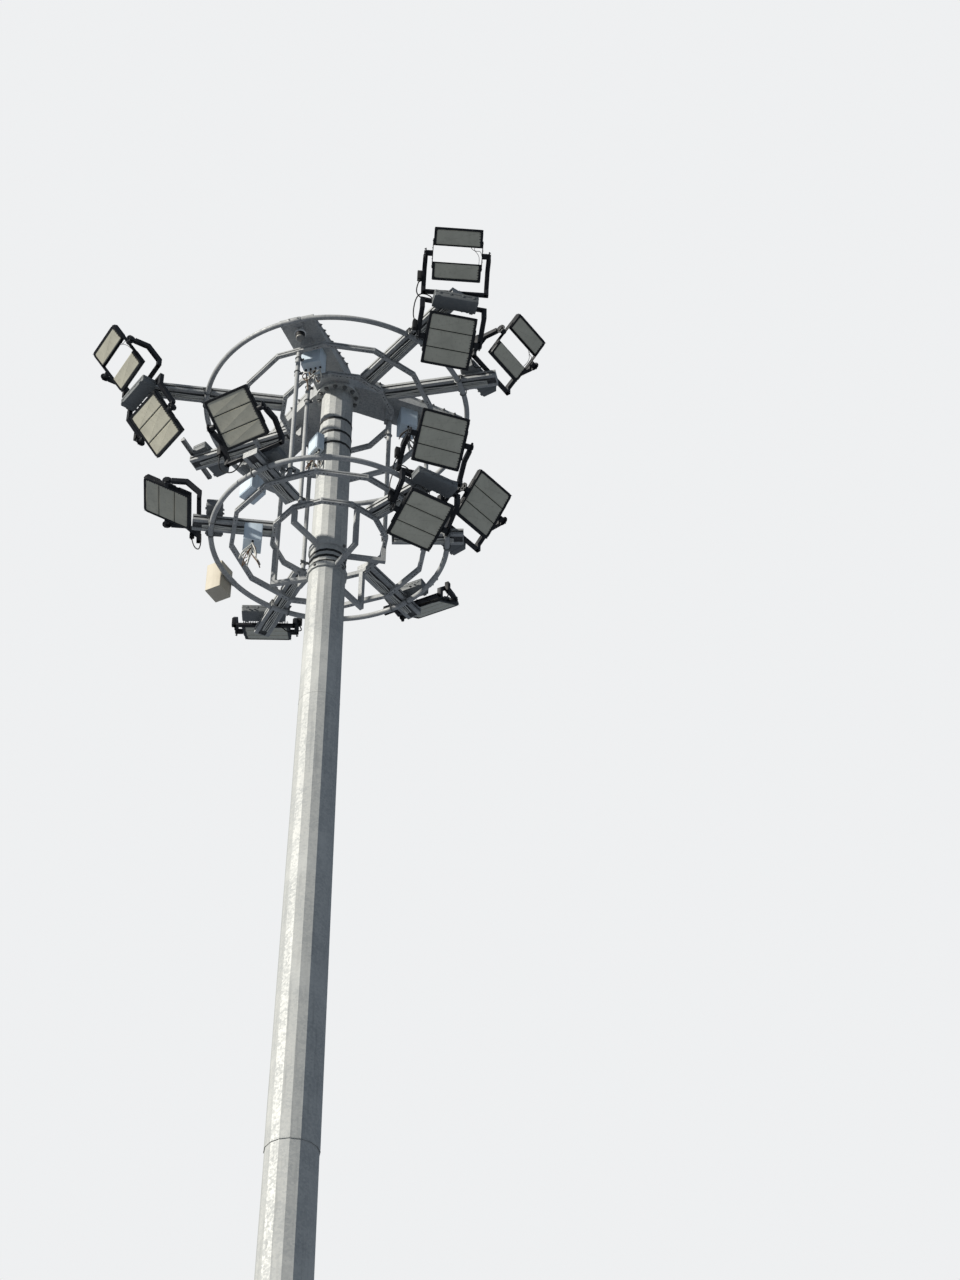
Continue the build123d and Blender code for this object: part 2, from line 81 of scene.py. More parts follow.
seat_gap = 0.0002
beam_height = 0.08
arm_end_past_foot = 0.06
lamp_width = 0.54
module_height = 0.186
module_gap = 0.012
module_depth = 0.046
fin_depth = 0.034
end_plate_height = 0.33
end_plate_thickness = 0.008
pivot_back = 0.02
boss_diameter = 0.064
pin_diameter = 0.02
bracket_inner_width = 0.69
bracket_bar = 0.05
bracket_thickness = 0.01
bracket_reach = 0.367
bracket_rise = 0.24
bracket_knee = 0.09
hanging_reach = 0.18
hanging_drop = 0.405
hanging_knee = 0.15
aim_disc_diameter = 0.11
aim_disc_thickness = 0.014
driver_size = (0.5, 0.18, 0.1)
driver_ahead = 0.09
driver_behind = 0.17
bare_arm_driver = (1.78, 139)
shared_arms = ("upper_arm_a", "upper_arm_c", "lower_arm_i")
junction_width = 0.23
junction_depth = 0.2
junction_height = 0.24
junction_radius = 0.83
junction_along = 0.24
ring_box_azimuth = 210
hung_box_azimuth = 141.8
hung_box_height = 0.38
mast_box_azimuth = 202.5
mast_box_drop = 0.65
dome_radius = ring_radius["upper"] - 0.21
dome_stem = 0.06
dome_skirt = 0.06
collar_drops = (0.23, 0.56)
collar_band_height = 0.06
collar_band_wall = 0.018
collar_strut_azimuths = ((0, 112.5, 225), (45, 157.5, 292.5))
post_tube = 0.05
post_azimuths = {"mid": 238.5, "inner": 231}
door_azimuth = 270
door_width = 0.25
door_height = 0.95
door_low_z = 0.55
lower_section_step = 0.0292

# Sizes of the dressing alone
skin_gap = 0.0003
rim_width = 0.027
rim_corner = 0.045
rim_depth = 0.03
rim_ahead = 0.008
lens_overhang = 0.001
lens_recess = 0.006
lens_edge = 0.003
bracket_side = 0.05
foot_bar = 0.03
foot_bolt_x = 0.052
lock_bolt_radius = 0.045
leg_end_gap = 0.046
ring_clamp_gap = 0.108
lens_thickness = 0.004
fin_count = 27
fin_thickness = 0.0032

both = (-1, 1)
unit_x = Vector((1, 0, 0))
unit_y = Vector((0, 1, 0))
unit_z = Vector((0, 0, 1))
ring_top = {tier: z + ring_tube / 2 for tier, z in tier_z.items()}
beam_bottom = {tier: z + seat_gap for tier, z in ring_top.items()}
beam_top = {tier: z + beam_height for tier, z in beam_bottom.items()}
channel_flat = {
    kind: radius * cos(channel_corner) - channel_size / 2 for kind, radius in channel_radius.items()
}
module_pitch = module_height + module_gap
housing_back = pivot_back - module_depth
lens_y = pivot_back - lens_recess
bracket_outer = bracket_inner_width / 2 + bracket_thickness

# Which way a stirrup stands off its arm, and its pivot (ahead, up) from its foot
mount_sign = {"standing": 1, "hanging": -1}
mount_pivot = {"standing": (bracket_reach, bracket_rise), "hanging": (-hanging_reach, -hanging_drop)}

# Name: tier, inner end (radius, azimuth), lamp foot (radius, azimuth)
arms = {
    "upper_arm_a": ("upper", (0.6, 297), (2.225, 298.3)),
    "upper_arm_b": ("upper", (0.6, 324), (1.848, 334.0)),
    "upper_arm_c": ("upper", (0.6, 178.8), (2.215, 178.3)),
    "upper_arm_d": ("upper", (0.7, 134.8), (1.88, 142.5)),
    "lower_arm_e": ("lower", (0.6, 179.5), (1.449, 178.2)),
    "lower_arm_f": ("lower", (0.7, 109.5), (1.767, 107.6)),
    "lower_arm_g": ("lower", (0.62, 43.3), (1.52, 44.5)),
    "lower_arm_h": ("lower", (0.7, 350.0), (1.42, 350.0)),
    "lower_arm_i": ("lower", (0.6, 313.0), (1.45, 311.8)),
    "lower_arm_j": ("lower", (0.7, 227.0), (1.45, 228.2)),
}

# A lamp's foot is a radius and azimuth, its tilt is below level, and an open bay has no module
Lamp = namedtuple("Lamp", "arm foot mount azimuth tilt open_bay")
floodlights = {
    1: Lamp("upper_arm_a", (2.225, 298.1), "standing", 264.8, 47, True),
    2: Lamp("upper_arm_a", (2.16, 299.0), "hanging", 273.8, 50, False),
    3: Lamp("upper_arm_b", (1.848, 333.6), "standing", 316.3, 44, True),
    4: Lamp("upper_arm_c", (2.215, 178.8), "standing", 200.8, 45, True),
    5: Lamp("upper_arm_c", (2.2, 177.6), "hanging", 205.8, 45, False),
    6: Lamp("lower_arm_j", (1.447, 228.3), "standing", 229.8, 57, False),
    7: Lamp("lower_arm_i", (1.43, 311.6), "standing", 279.8, 40, False),
    8: Lamp("lower_arm_i", (1.44, 311.7), "hanging", 292.8, 62, False),
    9: Lamp("lower_arm_h", (1.42, 350.0), "standing", 310.8, 38, False),
    10: Lamp("lower_arm_e", (1.449, 177.8), "standing", 174.8, 64, False),
    11: Lamp("lower_arm_f", (1.767, 107.5), "standing", 80.8, 64, False),
    12: Lamp("lower_arm_g", (1.483, 42.5), "standing", 52.8, 57, False),
}


def polar(radius, azimuth, z=0.0):
    """Returns the point at a radius, azimuth and height."""
    return Vector((radius * cos(radians(azimuth)), radius * sin(radians(azimuth)), z))


def azimuth_of(spot):
    """Returns the azimuth of a point or direction."""
    return degrees(atan2(spot.y, spot.x))


def axes_at(origin, x_axis, y_axis, z_axis):
    """Returns the matrix that takes local points to a frame with these axes."""
    rotation = Matrix((x_axis, y_axis, z_axis)).transposed().to_4x4()
    return Matrix.Translation(origin) @ rotation


def upright_at(origin, azimuth):
    """Returns an upright frame whose local Y points along an azimuth."""
    return axes_at(origin, polar(1, azimuth - 90), polar(1, azimuth), unit_z)


def upright_on(radius, azimuth, z):
    """Returns an upright frame at a radius, azimuth and height, whose local Y points outwards."""
    return upright_at(polar(radius, azimuth, z), azimuth)


def stand_on(origin, outward):
    """Returns a frame whose local Z points out of a face."""
    turn = Vector(outward).to_track_quat("Z", "Y").to_matrix().to_4x4()
    return Matrix.Translation(origin) @ turn


def mast_width(z):
    """Returns the top mast section's width across flats at a height."""
    return mast_top_width + mast_taper * (mast_top_z - z)


def arm_frame(name):
    """Returns an arm's frame, local X along the arm from its inner end, and its length."""
    tier, inner, foot = arms[name]
    start = polar(*inner, beam_bottom[tier])
    toward = polar(*foot, beam_bottom[tier]) - start
    direction = toward.normalized()
    place = axes_at(start, direction, unit_z.cross(direction), unit_z)
    return place, toward.length + arm_end_past_foot


def foot_place(number):
    """Returns the upright frame at the foot of a lamp's stirrup."""
    lamp = floodlights[number]
    tier = arms[lamp.arm][0]
    foot_z = beam_top[tier] if lamp.mount == "standing" else beam_bottom[tier]
    return upright_at(polar(*lamp.foot, foot_z), lamp.azimuth)


def lamp_place(number):
    """Returns the frame of a lamp at its pivot: local X along the pins, Y out of the face, Z up it."""
    lamp = floodlights[number]
    facing = polar(cos(radians(lamp.tilt)), lamp.azimuth, -sin(radians(lamp.tilt)))
    upward = polar(sin(radians(lamp.tilt)), lamp.azimuth, cos(radians(lamp.tilt)))
    joint = next(entry for entry in frame["joints"] if entry["name"] == f"floodlight_{number}_tilt")
    return axes_at(Vector(joint["pos_m"]), facing.cross(upward), facing, upward)


# Modelling steps

def deselect():
    """Leaves nothing selected."""
    bpy.ops.object.select_all(action="DESELECT")


def make_active(piece):
    """Selects one piece alone."""
    deselect()
    piece.select_set(True)
    bpy.context.view_layer.objects.active = piece


def apply_place(piece):
    """Moves a piece's place and size into its mesh."""
    make_active(piece)
    bpy.ops.object.transform_apply(location=True, rotation=True, scale=True)
    return piece


def block(size, centre=(0, 0, 0)):
    """Starts a piece from a block of a given size."""
    deselect()
    bpy.ops.mesh.primitive_cube_add(size=1, location=centre)
    piece = bpy.context.object
    piece.scale = size
    return apply_place(piece)


def round_bar(radius, length, centre=(0, 0, 0), along="Z", sides=24, tip_radius=None):
    """Starts a piece from a round or many-sided bar, tapered if its tip radius differs."""
    deselect()
    bpy.ops.mesh.primitive_cone_add(
        vertices=sides,
        radius1=radius,
        radius2=radius if tip_radius is None else tip_radius,
        depth=length,
        location=centre,
        rotation={"X": (0, pi / 2, 0), "Y": (-pi / 2, 0, 0), "Z": (0, 0, 0)}[along],
    )
    return apply_place(bpy.context.object)


def all_over(centre, way):
    """Passes every face."""
    return True


def edges_along(axis, least=0.9):
    """Returns a test for the edges that run along an axis."""
    return lambda centre, way: abs(way["XYZ".index(axis)]) > least


def faces_to(axis, side=1):
    """Returns a test for the faces that look one way along an axis."""
    return lambda centre, way: side * way["XYZ".index(axis)] > 0.9


def pick(piece, kind, test):
    """Selects the faces or edges of a piece that pass a test, and opens it for editing."""
    make_active(piece)
    mesh = piece.data
    for group in (mesh.vertices, mesh.edges, mesh.polygons):
        for item in group:
            item.select = False
    bpy.context.tool_settings.mesh_select_mode = (False, kind == "edges", kind == "faces")
    if kind == "faces":
        for face in mesh.polygons:
            face.select = test(face.center, face.normal)
    else:
        for edge in mesh.edges:
            start, end = (mesh.vertices[i].co for i in edge.vertices)
            edge.select = test((start + end) / 2, (end - start).normalized())
    bpy.ops.object.mode_set(mode="EDIT")


def done(piece):
    """Closes a piece that is open for editing."""
    bpy.ops.object.mode_set(mode="OBJECT")
    return piece


def recess(piece, test, width, step=None):
    """Insets the chosen face, and extrudes what is left inside it by any step given."""
    pick(piece, "faces", test)
    bpy.ops.mesh.inset(thickness=width, depth=0, use_boundary=True)
    if step:
        bpy.ops.mesh.extrude_region_move(TRANSFORM_OT_translate={"value": step})
    return done(piece)


def round_edges(piece, test, width, segments=3):
    """Rounds the chosen edges."""
    pick(piece, "edges", test)
    bpy.ops.mesh.bevel(offset=width, segments=segments, affect="EDGES")
    return done(piece)


def cut_off(piece, point, outward):
    """Cuts off what lies past a plane, and closes the cut."""
    pick(piece, "faces", all_over)
    bpy.ops.mesh.bisect(plane_co=point, plane_no=outward, use_fill=True, clear_outer=True)
    return done(piece)


def soften(piece, width=0.0015, segments=2):
    """Breaks a piece's sharp edges with an applied bevel."""
    make_active(piece)
    edge = piece.modifiers.new("soft edges", "BEVEL")
    edge.width = width
    edge.segments = segments
    edge.limit_method = "ANGLE"
    edge.angle_limit = radians(35)
    bpy.ops.object.modifier_apply(modifier=edge.name)
    return piece


def soft_block(size, centre, width=0.0015):
    """Makes a small block with its edges broken."""
    return soften(block(size, centre), width, 1)


def smooth(piece):
    """Shades a piece smooth across its shallow edges."""
    make_active(piece)
    bpy.ops.object.shade_smooth_by_angle(angle=radians(35))
    return piece


def join(pieces):
    """Joins pieces into one."""
    make_active(pieces[0])
    for piece in pieces:
        piece.select_set(True)
    if len(pieces) > 1:
        bpy.ops.object.join()
    return pieces[0]


def set_down(piece, place):
    """Moves a piece's mesh into another frame."""
    piece.data.transform(place)
    return piece


def copy_to(master, place):
    """Returns a copy of a piece, with its own mesh, set down in another frame."""
    copy = master.copy()
    copy.data = master.data.copy()
    bpy.context.scene.collection.objects.link(copy)
    return set_down(copy, place)


def discard(*masters):
    """Deletes the masters that only served to be copied."""
    for master in masters:
        bpy.data.objects.remove(master, do_unlink=True)


def repeat(master, places, keep=False):
    """Returns one piece made of copies of a master in several frames."""
    row = join([copy_to(master, place) for place in places])
    if not keep:
        discard(master)
    return row


def add_line(curve, kind, points):
    """Adds a line through points to a curve."""
    line = curve.splines.new(kind)
    line.points.add(len(points) - 1)
    for point, spot in zip(line.points, points):
        point.co = (*spot, 1)
    return line


def mesh_of(curve):
    """Turns a curve into a piece."""
    piece = bpy.data.objects.new("line", curve)
    bpy.context.scene.collection.objects.link(piece)
    make_active(piece)
    bpy.ops.object.convert(target="MESH")
    return bpy.context.object


def plate(outlines, thickness, edge=0.0012):
    """Makes a flat plate in local X and Y, centred in Z, from closed outlines with holes."""
    curve = bpy.data.curves.new("outline", "CURVE")
    curve.dimensions = "2D"
    curve.fill_mode = "BOTH"
    curve.extrude = thickness / 2 - edge
    curve.bevel_depth = edge
    curve.bevel_resolution = 1
    curve.offset = -edge
    for outline in outlines:
        add_line(curve, "POLY", [(x, y, 0) for x, y in outline]).use_cyclic_u = True
    return mesh_of(curve)


def rod(points, diameter, kind="NURBS", fineness=1):
    """Makes a round rod, or a lead along a smooth line through given points."""
    curve = bpy.data.curves.new("rod", "CURVE")
    curve.dimensions = "3D"
    curve.bevel_depth = diameter / 2
    curve.bevel_resolution = fineness
    curve.resolution_u = 6
    curve.use_fill_caps = True
    line = add_line(curve, kind, points)
    line.use_endpoint_u = True
    line.order_u = 3
    return mesh_of(curve)


def circle(sides, diameter, centre=(0, 0)):
    """Returns the points of a circle as an outline."""
    turns = [2 * pi / sides * i for i in range(sides)]
    return [(centre[0] + diameter / 2 * cos(turn), centre[1] + diameter / 2 * sin(turn)) for turn in turns]


def finish_piece(piece, name, body, material, replaced=()):
    """Names a finished piece, gives it its finish and ties it to its body."""
    piece.name = name
    piece.data.name = name
    piece.data.materials.clear()
    piece.data.materials.append(material)
    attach(piece, body)
    if replaced:
        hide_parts(*replaced)
    return piece


def finish_fixed(piece, name, material, slot, *replaced):
    """Smooths and finishes a piece that stays with the tower."""
    return finish_piece(smooth(piece), name, "tower", material, replaced)


# Shared shader effects

def feed(tree, value, socket):
    """Gives a socket a number or a colour, or links another socket to it."""
    if isinstance(value, tuple):
        socket.default_value = (*value, 1)
    elif isinstance(value, (int, float)):
        socket.default_value = value
    else:
        tree.links.new(value, socket)


def add_node(tree, kind, **values):
    """Adds a node and feeds its named inputs."""
    node = tree.nodes.new(kind)
    for label, value in values.items():
        feed(tree, value, node.inputs[label.replace("_", " ")])
    return node


def new_group(name, label, value, outputs):
    """Starts a node group with one named input and several named outputs."""
    group = bpy.data.node_groups.new(name, "ShaderNodeTree")
    socket = group.interface.new_socket(label, in_out="INPUT", socket_type="NodeSocketFloat")
    socket.default_value = value
    for output in outputs:
        group.interface.new_socket(output, in_out="OUTPUT", socket_type="NodeSocketFloat")
    return group, group.nodes.new("NodeGroupInput").outputs[0], group.nodes.new("NodeGroupOutput").inputs


def math_node(tree, operation, first, second):
    """Adds a maths node and feeds it sockets or numbers."""
    node = tree.nodes.new("ShaderNodeMath")
    node.operation = operation
    feed(tree, first, node.inputs[0])
    feed(tree, second, node.inputs[1])
    return node.outputs[0]


def span_node(tree, value, low, high, to_low=0.0, to_high=1.0):
    """Adds a node that stretches a span of values to another."""
    spans = {"From_Min": low, "From_Max": high, "To_Min": to_low, "To_Max": to_high}
    node = add_node(tree, "ShaderNodeMapRange", Value=value, **spans)
    node.interpolation_type = "SMOOTHSTEP"
    return node.outputs["Result"]


def noise_node(tree, vector, scale, detail=3.0, roughness=0.55):
    """Adds a noise texture."""
    values = {"Vector": vector, "Scale": scale, "Detail": detail, "Roughness": roughness}
    return add_node(tree, "ShaderNodeTexNoise", **values).outputs["Fac"]


def mix_colour(tree, factor, first, second):
    """Mixes two colours by a mask."""
    node = tree.nodes.new("ShaderNodeMix")
    node.data_type = "RGBA"
    for socket, value in ((node.inputs[0], factor), (node.inputs[6], first), (node.inputs[7], second)):
        feed(tree, value, socket)
    return node.outputs[2]


def object_place(tree, stretch=(1, 1, 1)):
    """Adds object coordinates, stretched along each axis."""
    place = tree.nodes.new("ShaderNodeTexCoord")
    mapping = add_node(tree, "ShaderNodeMapping", Vector=place.outputs["Object"])
    mapping.inputs["Scale"].default_value = stretch
    return mapping.outputs["Vector"]


def make_spangle_group():
    """Zinc crystals of a hot-dip coat: patches of slightly different tone, and a fine relief."""
    group, crystal_scale, outputs = new_group("zinc spangle", "Crystal Scale", 60.0, ("Tone", "Relief"))
    place = object_place(group)
    crystals = add_node(group, "ShaderNodeTexVoronoi", Vector=place, Scale=crystal_scale)
    crystals.feature = "F1"
    split = add_node(group, "ShaderNodeSeparateColor", Color=crystals.outputs["Color"])
    cloud = noise_node(group, place, 3.2, 4.0)
    fine = noise_node(group, place, 140.0, 2.0)
    tone = math_node(group, "ADD", math_node(group, "MULTIPLY", split.outputs["Red"], 0.45), cloud)
    feed(group, span_node(group, tone, 0.35, 1.1), outputs["Tone"])
    feed(group, fine, outputs["Relief"])
    return group


def make_streak_group():
    """Rain streaks that run down a surface, and soft blotches of old dirt."""
    group, streaks, outputs = new_group("rain streaks", "Streaks", 24.0, ("Streak", "Blotch"))
    streak = noise_node(group, object_place(group, (1, 1, 0.05)), streaks, 3.0, 0.6)
    blotch = noise_node(group, object_place(group), 1.7, 5.0, 0.6)
    feed(group, span_node(group, streak, 0.5, 0.75), outputs["Streak"])
    feed(group, span_node(group, blotch, 0.48, 0.72), outputs["Blotch"])
    return group


def make_dust_group():
    """Dust that settles on faces that look up, broken by noise."""
    group, amount, outputs = new_group("settled dust", "Amount", 0.5, ("Dust",))
    geometry = group.nodes.new("ShaderNodeNewGeometry")
    split = add_node(group, "ShaderNodeSeparateXYZ", Vector=geometry.outputs["Normal"])
    up = span_node(group, split.outputs["Z"], 0.1, 0.95)
    patchy = span_node(group, noise_node(group, object_place(group), 22.0, 4.0), 0.3, 0.75)
    lying = math_node(group, "MULTIPLY", up, patchy)
    feed(group, math_node(group, "MULTIPLY", lying, amount), outputs["Dust"])
    return group


spangle_group = make_spangle_group()
streak_group = make_streak_group()
dust_group = make_dust_group()


def place_group(tree, group, value):
    """Adds a shared effect to a material with its own value."""
    node = tree.nodes.new("ShaderNodeGroup")
    node.node_tree = group
    node.inputs[0].default_value = value
    return node.outputs


def new_material(name, metallic=0.0):
    """Starts a material and returns its tree and its shader."""
    material = bpy.data.materials.new(name)
    material.use_nodes = True
    shader = material.node_tree.nodes["Principled BSDF"]
    shader.inputs["Metallic"].default_value = metallic
    shader.inputs["Specular IOR Level"].default_value = 0.3
    return material, material.node_tree, shader


def add_relief(tree, shader, height, strength, distance):
    """Adds fine relief to a shader."""
    bump = add_node(tree, "ShaderNodeBump", Strength=strength, Distance=distance, Height=height)
    tree.links.new(bump.outputs["Normal"], shader.inputs["Normal"])


def make_galvanised(name, light, dark, streaks, crystals, metallic):
    """Weathered hot-dip zinc."""
    material, tree, shader = new_material(name, metallic)
    spangle = place_group(tree, spangle_group, crystals)
    streak = place_group(tree, streak_group, streaks)
    base = mix_colour(tree, spangle["Tone"], dark, light)
    stain = tuple(channel * 0.62 for channel in dark)
    streaked = mix_colour(tree, math_node(tree, "MULTIPLY", streak["Streak"], 0.4), base, stain)
    chalk = tuple(min(1.0, channel * 1.22) for channel in light)
    chalked = mix_colour(tree, math_node(tree, "MULTIPLY", streak["Blotch"], 0.45), streaked, chalk)
    feed(tree, chalked, shader.inputs["Base Color"])
    feed(tree, span_node(tree, spangle["Tone"], 0.0, 1.0, 0.62, 0.4), shader.inputs["Roughness"])
    add_relief(tree, shader, spangle["Relief"], 0.35, 0.0006)
    return material


def make_painted(name, colour, worn, dust_colour, dust, roughness=0.45):
    """Powder-coated or painted metal with settled dust and dull patches."""
    material, tree, shader = new_material(name)
    streak = place_group(tree, streak_group, 38.0)
    settled = place_group(tree, dust_group, dust)
    base = mix_colour(tree, math_node(tree, "MULTIPLY", streak["Blotch"], 0.6), colour, worn)
    streaked = mix_colour(tree, math_node(tree, "MULTIPLY", streak["Streak"], 0.25), base, dust_colour)
    feed(tree, mix_colour(tree, settled["Dust"], streaked, dust_colour), shader.inputs["Base Color"])
    grain = noise_node(tree, object_place(tree), 420.0, 2.0)
    dull = span_node(tree, streak["Blotch"], 0.0, 1.0, roughness, roughness + 0.18)
    feed(tree, dull, shader.inputs["Roughness"])
    add_relief(tree, shader, grain, 0.25, 0.0003)
    return material


def make_lens_material():
    """A cream diffusing cover, cloudy in tone and streaked; the rows of light points under it are not drawn.
    """
    material, tree, shader = new_material("lens cover")
    cloud = noise_node(tree, object_place(tree), 5.0, 4.0)
    streak = place_group(tree, streak_group, 30.0)
    base = mix_colour(tree, span_node(tree, cloud, 0.3, 0.7), (0.58, 0.555, 0.45), (0.67, 0.64, 0.52))
    dirty = mix_colour(tree, math_node(tree, "MULTIPLY", streak["Streak"], 0.4), base, (0.4, 0.38, 0.3))
    feed(tree, dirty, shader.inputs["Base Color"])
    shader.inputs["Roughness"].default_value = 0.34
    shader.inputs["Coat Weight"].default_value = 0.15
    return material


# Light and dark tones, streak and crystal scales, metallic
zinc_mast = make_galvanised("galvanised mast", (0.56, 0.56, 0.535), (0.42, 0.43, 0.425), 26, 48, 0.05)
zinc_frame = make_galvanised("galvanised frame", (0.50, 0.50, 0.49), (0.33, 0.34, 0.345), 30, 80, 0.05)
zinc_bolt = make_galvanised("galvanised bolts", (0.3, 0.3, 0.29), (0.16, 0.165, 0.17), 60, 160, 0.5)
# Near-black zinc for the cable trays: painted shade for the trays that lie in shadow between the beams
tray_zinc_painted_shade = make_galvanised("tray zinc darkened as painted shade", (0.12, 0.12, 0.12), (0.06, 0.062, 0.065), 40, 70, 0.3)

# Clean, worn and dusty colours, amount of dust, roughness
bracket_dust = (0.1, 0.095, 0.085)
dark_coat = make_painted("dark bracket coat", (0.014, 0.015, 0.019), (0.026, 0.027, 0.031), bracket_dust, 0.3)
lamp_coat = make_painted("dark lamp coat", (0.014, 0.015, 0.018), (0.026, 0.027, 0.03), bracket_dust, 0.4)
driver_coat = make_painted(
    "grey driver coat", (0.17, 0.18, 0.185), (0.22, 0.23, 0.23), (0.36, 0.34, 0.3), 0.5
)
box_enamel = make_painted(
    "pale box enamel", (0.70, 0.80, 0.88), (0.62, 0.70, 0.77), (0.5, 0.5, 0.47), 0.2, 0.35
)
cream_enamel = make_painted(
    "cream box enamel", (0.62, 0.56, 0.45), (0.5, 0.44, 0.34), (0.35, 0.3, 0.23), 0.3, 0.4
)
dome_plastic = make_painted(
    "white dome plastic", (0.86, 0.87, 0.86), (0.78, 0.78, 0.76), (0.5, 0.48, 0.42), 0.3, 0.22
)
dome_grey = make_painted(
    "grey dome plastic", (0.3, 0.29, 0.27), (0.24, 0.235, 0.22), (0.3, 0.28, 0.25), 0.3, 0.2
)
# Black for rubber parts, and also for the painted shadows on the mast and the painted shade in the channel
# slots
black_rubber_and_shade = make_painted(
    "black rubber and painted shade", (0.018, 0.018, 0.019), (0.035, 0.034, 0.033), (0.14, 0.13, 0.12), 0.3, 0.6
)
pale_sheath = make_painted(
    "pale cable sheath", (0.7, 0.69, 0.64), (0.58, 0.57, 0.52), (0.3, 0.28, 0.24), 0.3, 0.5
)
brown_sheath = make_painted(
    "brown cable sheath", (0.16, 0.09, 0.05), (0.12, 0.08, 0.055), (0.25, 0.2, 0.15), 0.3, 0.5
)
lens_cover = make_lens_material()

for node, piece in frame["nodes"].items():
    zinc = zinc_mast if node.startswith(("mast", "base", "door", "collar_bands")) else zinc_frame
    # The cable trays take the near-black zinc, which is painted shade
    if node == "cable_trays":
        zinc = tray_zinc_painted_shade
    for index in range(len(piece.material_slots)):
        piece.material_slots[index].material = zinc


# Floodlights: local X along the pins, Y out of the face, Z up the face

def make_module_body():
    """Makes one module's housing: a cast tray with cooling fins behind."""
    depth = module_depth - rim_ahead
    tray = block((lamp_width - 0.002, depth, module_height), (0, housing_back + depth / 2, 0))
    round_edges(tray, edges_along("Y"), 0.012)
    soften(tray, 0.002)
    fin_size = (fin_thickness, fin_depth, module_height - 0.016)
    fin = block(fin_size, (0, housing_back - fin_depth / 2, 0))
    round_edges(fin, lambda centre, way: abs(way.x) > 0.9 and centre.y < housing_back - 0.01, 0.014)
    span = lamp_width - 0.03
    fin_xs = [-span / 2 + span * i / (fin_count - 1) for i in range(fin_count)]
    return join([tray, repeat(fin, [Matrix.Translation((x, 0, 0)) for x in fin_xs])])


def make_lens(low, high):
    """Makes one module's cover, a shallow moulded pan between two heights."""
    size = (lamp_width - 2 * rim_width, lens_thickness, high - low)
    lens = block(size, (0, lens_y - lens_thickness / 2, (low + high) / 2))
    round_edges(lens, edges_along("Y"), 0.006, 2)
    recess(lens, faces_to("Y"), 0.008, (0, lens_edge, 0))
    return soften(lens, 0.0012)


def rounded(width, height, radius, steps=5):
    """Returns the outline of a rectangle with round corners."""
    points = []
    for quarter, (x, y) in enumerate(((1, 1), (-1, 1), (-1, -1), (1, -1))):
        for step in range(steps + 1):
            turn = (quarter + step / steps) * pi / 2
            corner = (x * (width / 2 - radius), y * (height / 2 - radius))
            points.append((corner[0] + radius * cos(turn), corner[1] + radius * sin(turn)))
    return points


def make_rim(open_bay):
    """Makes the dark rim round a lamp's face, or the two hooped ends of it where a bay is open."""
    height = 2 * module_pitch + module_height
    outer = rounded(lamp_width, height, rim_corner)
    inner = rounded(lamp_width - 2 * rim_width, height - 2 * rim_width, rim_corner / 2)
    rim = plate([outer, inner[::-1]], rim_depth, 0.002)
    set_down(rim, axes_at(unit_y * (pivot_back - rim_depth / 2), unit_x, unit_z, -unit_y))
    if not open_bay:
        return rim
    cut_z = module_pitch - module_height / 2
    ends = [cut_off(copy_to(rim, Matrix()), (0, 0, side * cut_z), (0, 0, -side)) for side in both]
    discard(rim)
    return join(ends)


def make_module_marks():
    """Makes the dark vents and screws at a module's ends."""
    pieces = []
    for row in range(4):
        spot = (-lamp_width / 2 + 0.034, lens_y + lens_edge + 0.0006, 0.045 - row * 0.03)
        pieces.append(soft_block((0.016, 0.002, 0.006), spot, 0.0008))
    for side in both:
        for level in both:
            spot = (side * (lamp_width / 2 - 0.006), pivot_back, level * (module_height / 2 - 0.006))
            pieces.append(soften(round_bar(0.0042, 0.004, spot, "Y", 10), 0.001, 1))
    return join(pieces)


def make_bolt(across=0.03, height=0.019, stud=0.012):
    """Makes a hexagon head with a washer and the end of its stud, standing on local Z."""
    washer = 0.003
    head = round_bar(across / 2 / cos(pi / 6), height, (0, 0, washer + height / 2), "Z", 6)
    recess(head, faces_to("Z"), across * 0.09, (0, 0, height * 0.08))
    pieces = [head, round_bar(across * 0.8, washer, (0, 0, washer / 2), "Z", 14)]
    if stud > 0:
        spot = (0, 0, washer + height + stud / 2)
        pieces.append(round_bar(across * 0.28, stud, spot, "Z", 8, across * 0.24))
    return join(pieces)


def make_lamp_frame():
    """Makes what joins a lamp's modules: end plates, bosses, pins, clamp discs and tie bars."""
    pieces = []
    mid_y = housing_back / 2 + lens_recess / 2
    plate_outer = lamp_width / 2 + end_plate_thickness
    boss_length = (bracket_inner_width - lamp_width) / 2 - end_plate_thickness - 0.0005
    for side in both:
        plate_x = side * (lamp_width / 2 + end_plate_thickness / 2)
        end = block((end_plate_thickness, module_depth, end_plate_height), (plate_x, mid_y, 0))
        round_edges(end, edges_along("X"), 0.014)
        pieces.append(soften(end, 0.0015, 1))
        for level in (-0.14, -0.06, 0.06, 0.14):
            pieces.append(round_bar(0.006, 0.005, (plate_x + side * 0.006, mid_y, level), "X", 6))
        boss_x = side * (plate_outer + boss_length / 2)
        boss = round_bar(boss_diameter / 2, boss_length, (boss_x, 0, 0), "X", 28)
        recess(boss, faces_to("X", side), 0.008)
        pieces.append(soften(boss, 0.002))
        pin_x = side * (bracket_inner_width / 2 + bracket_thickness / 2)
        pieces.append(round_bar(pin_diameter / 2, bracket_thickness + 0.001, (pin_x, 0, 0), "X", 20))
        nut_x = side * (bracket_outer + 0.0005 + aim_disc_thickness / 2)
        nut = round_bar(boss_diameter / 2 * 0.98, aim_disc_thickness, (nut_x, 0, 0), "X", 6)
        recess(nut, faces_to("X", side), 0.008)
        pieces.append(soften(nut))
    for level in both:
        spot = (0, housing_back - 0.004, level * (module_pitch / 2))
        pieces.append(soft_block((lamp_width, 0.01, 0.02), spot))
    return join(pieces)


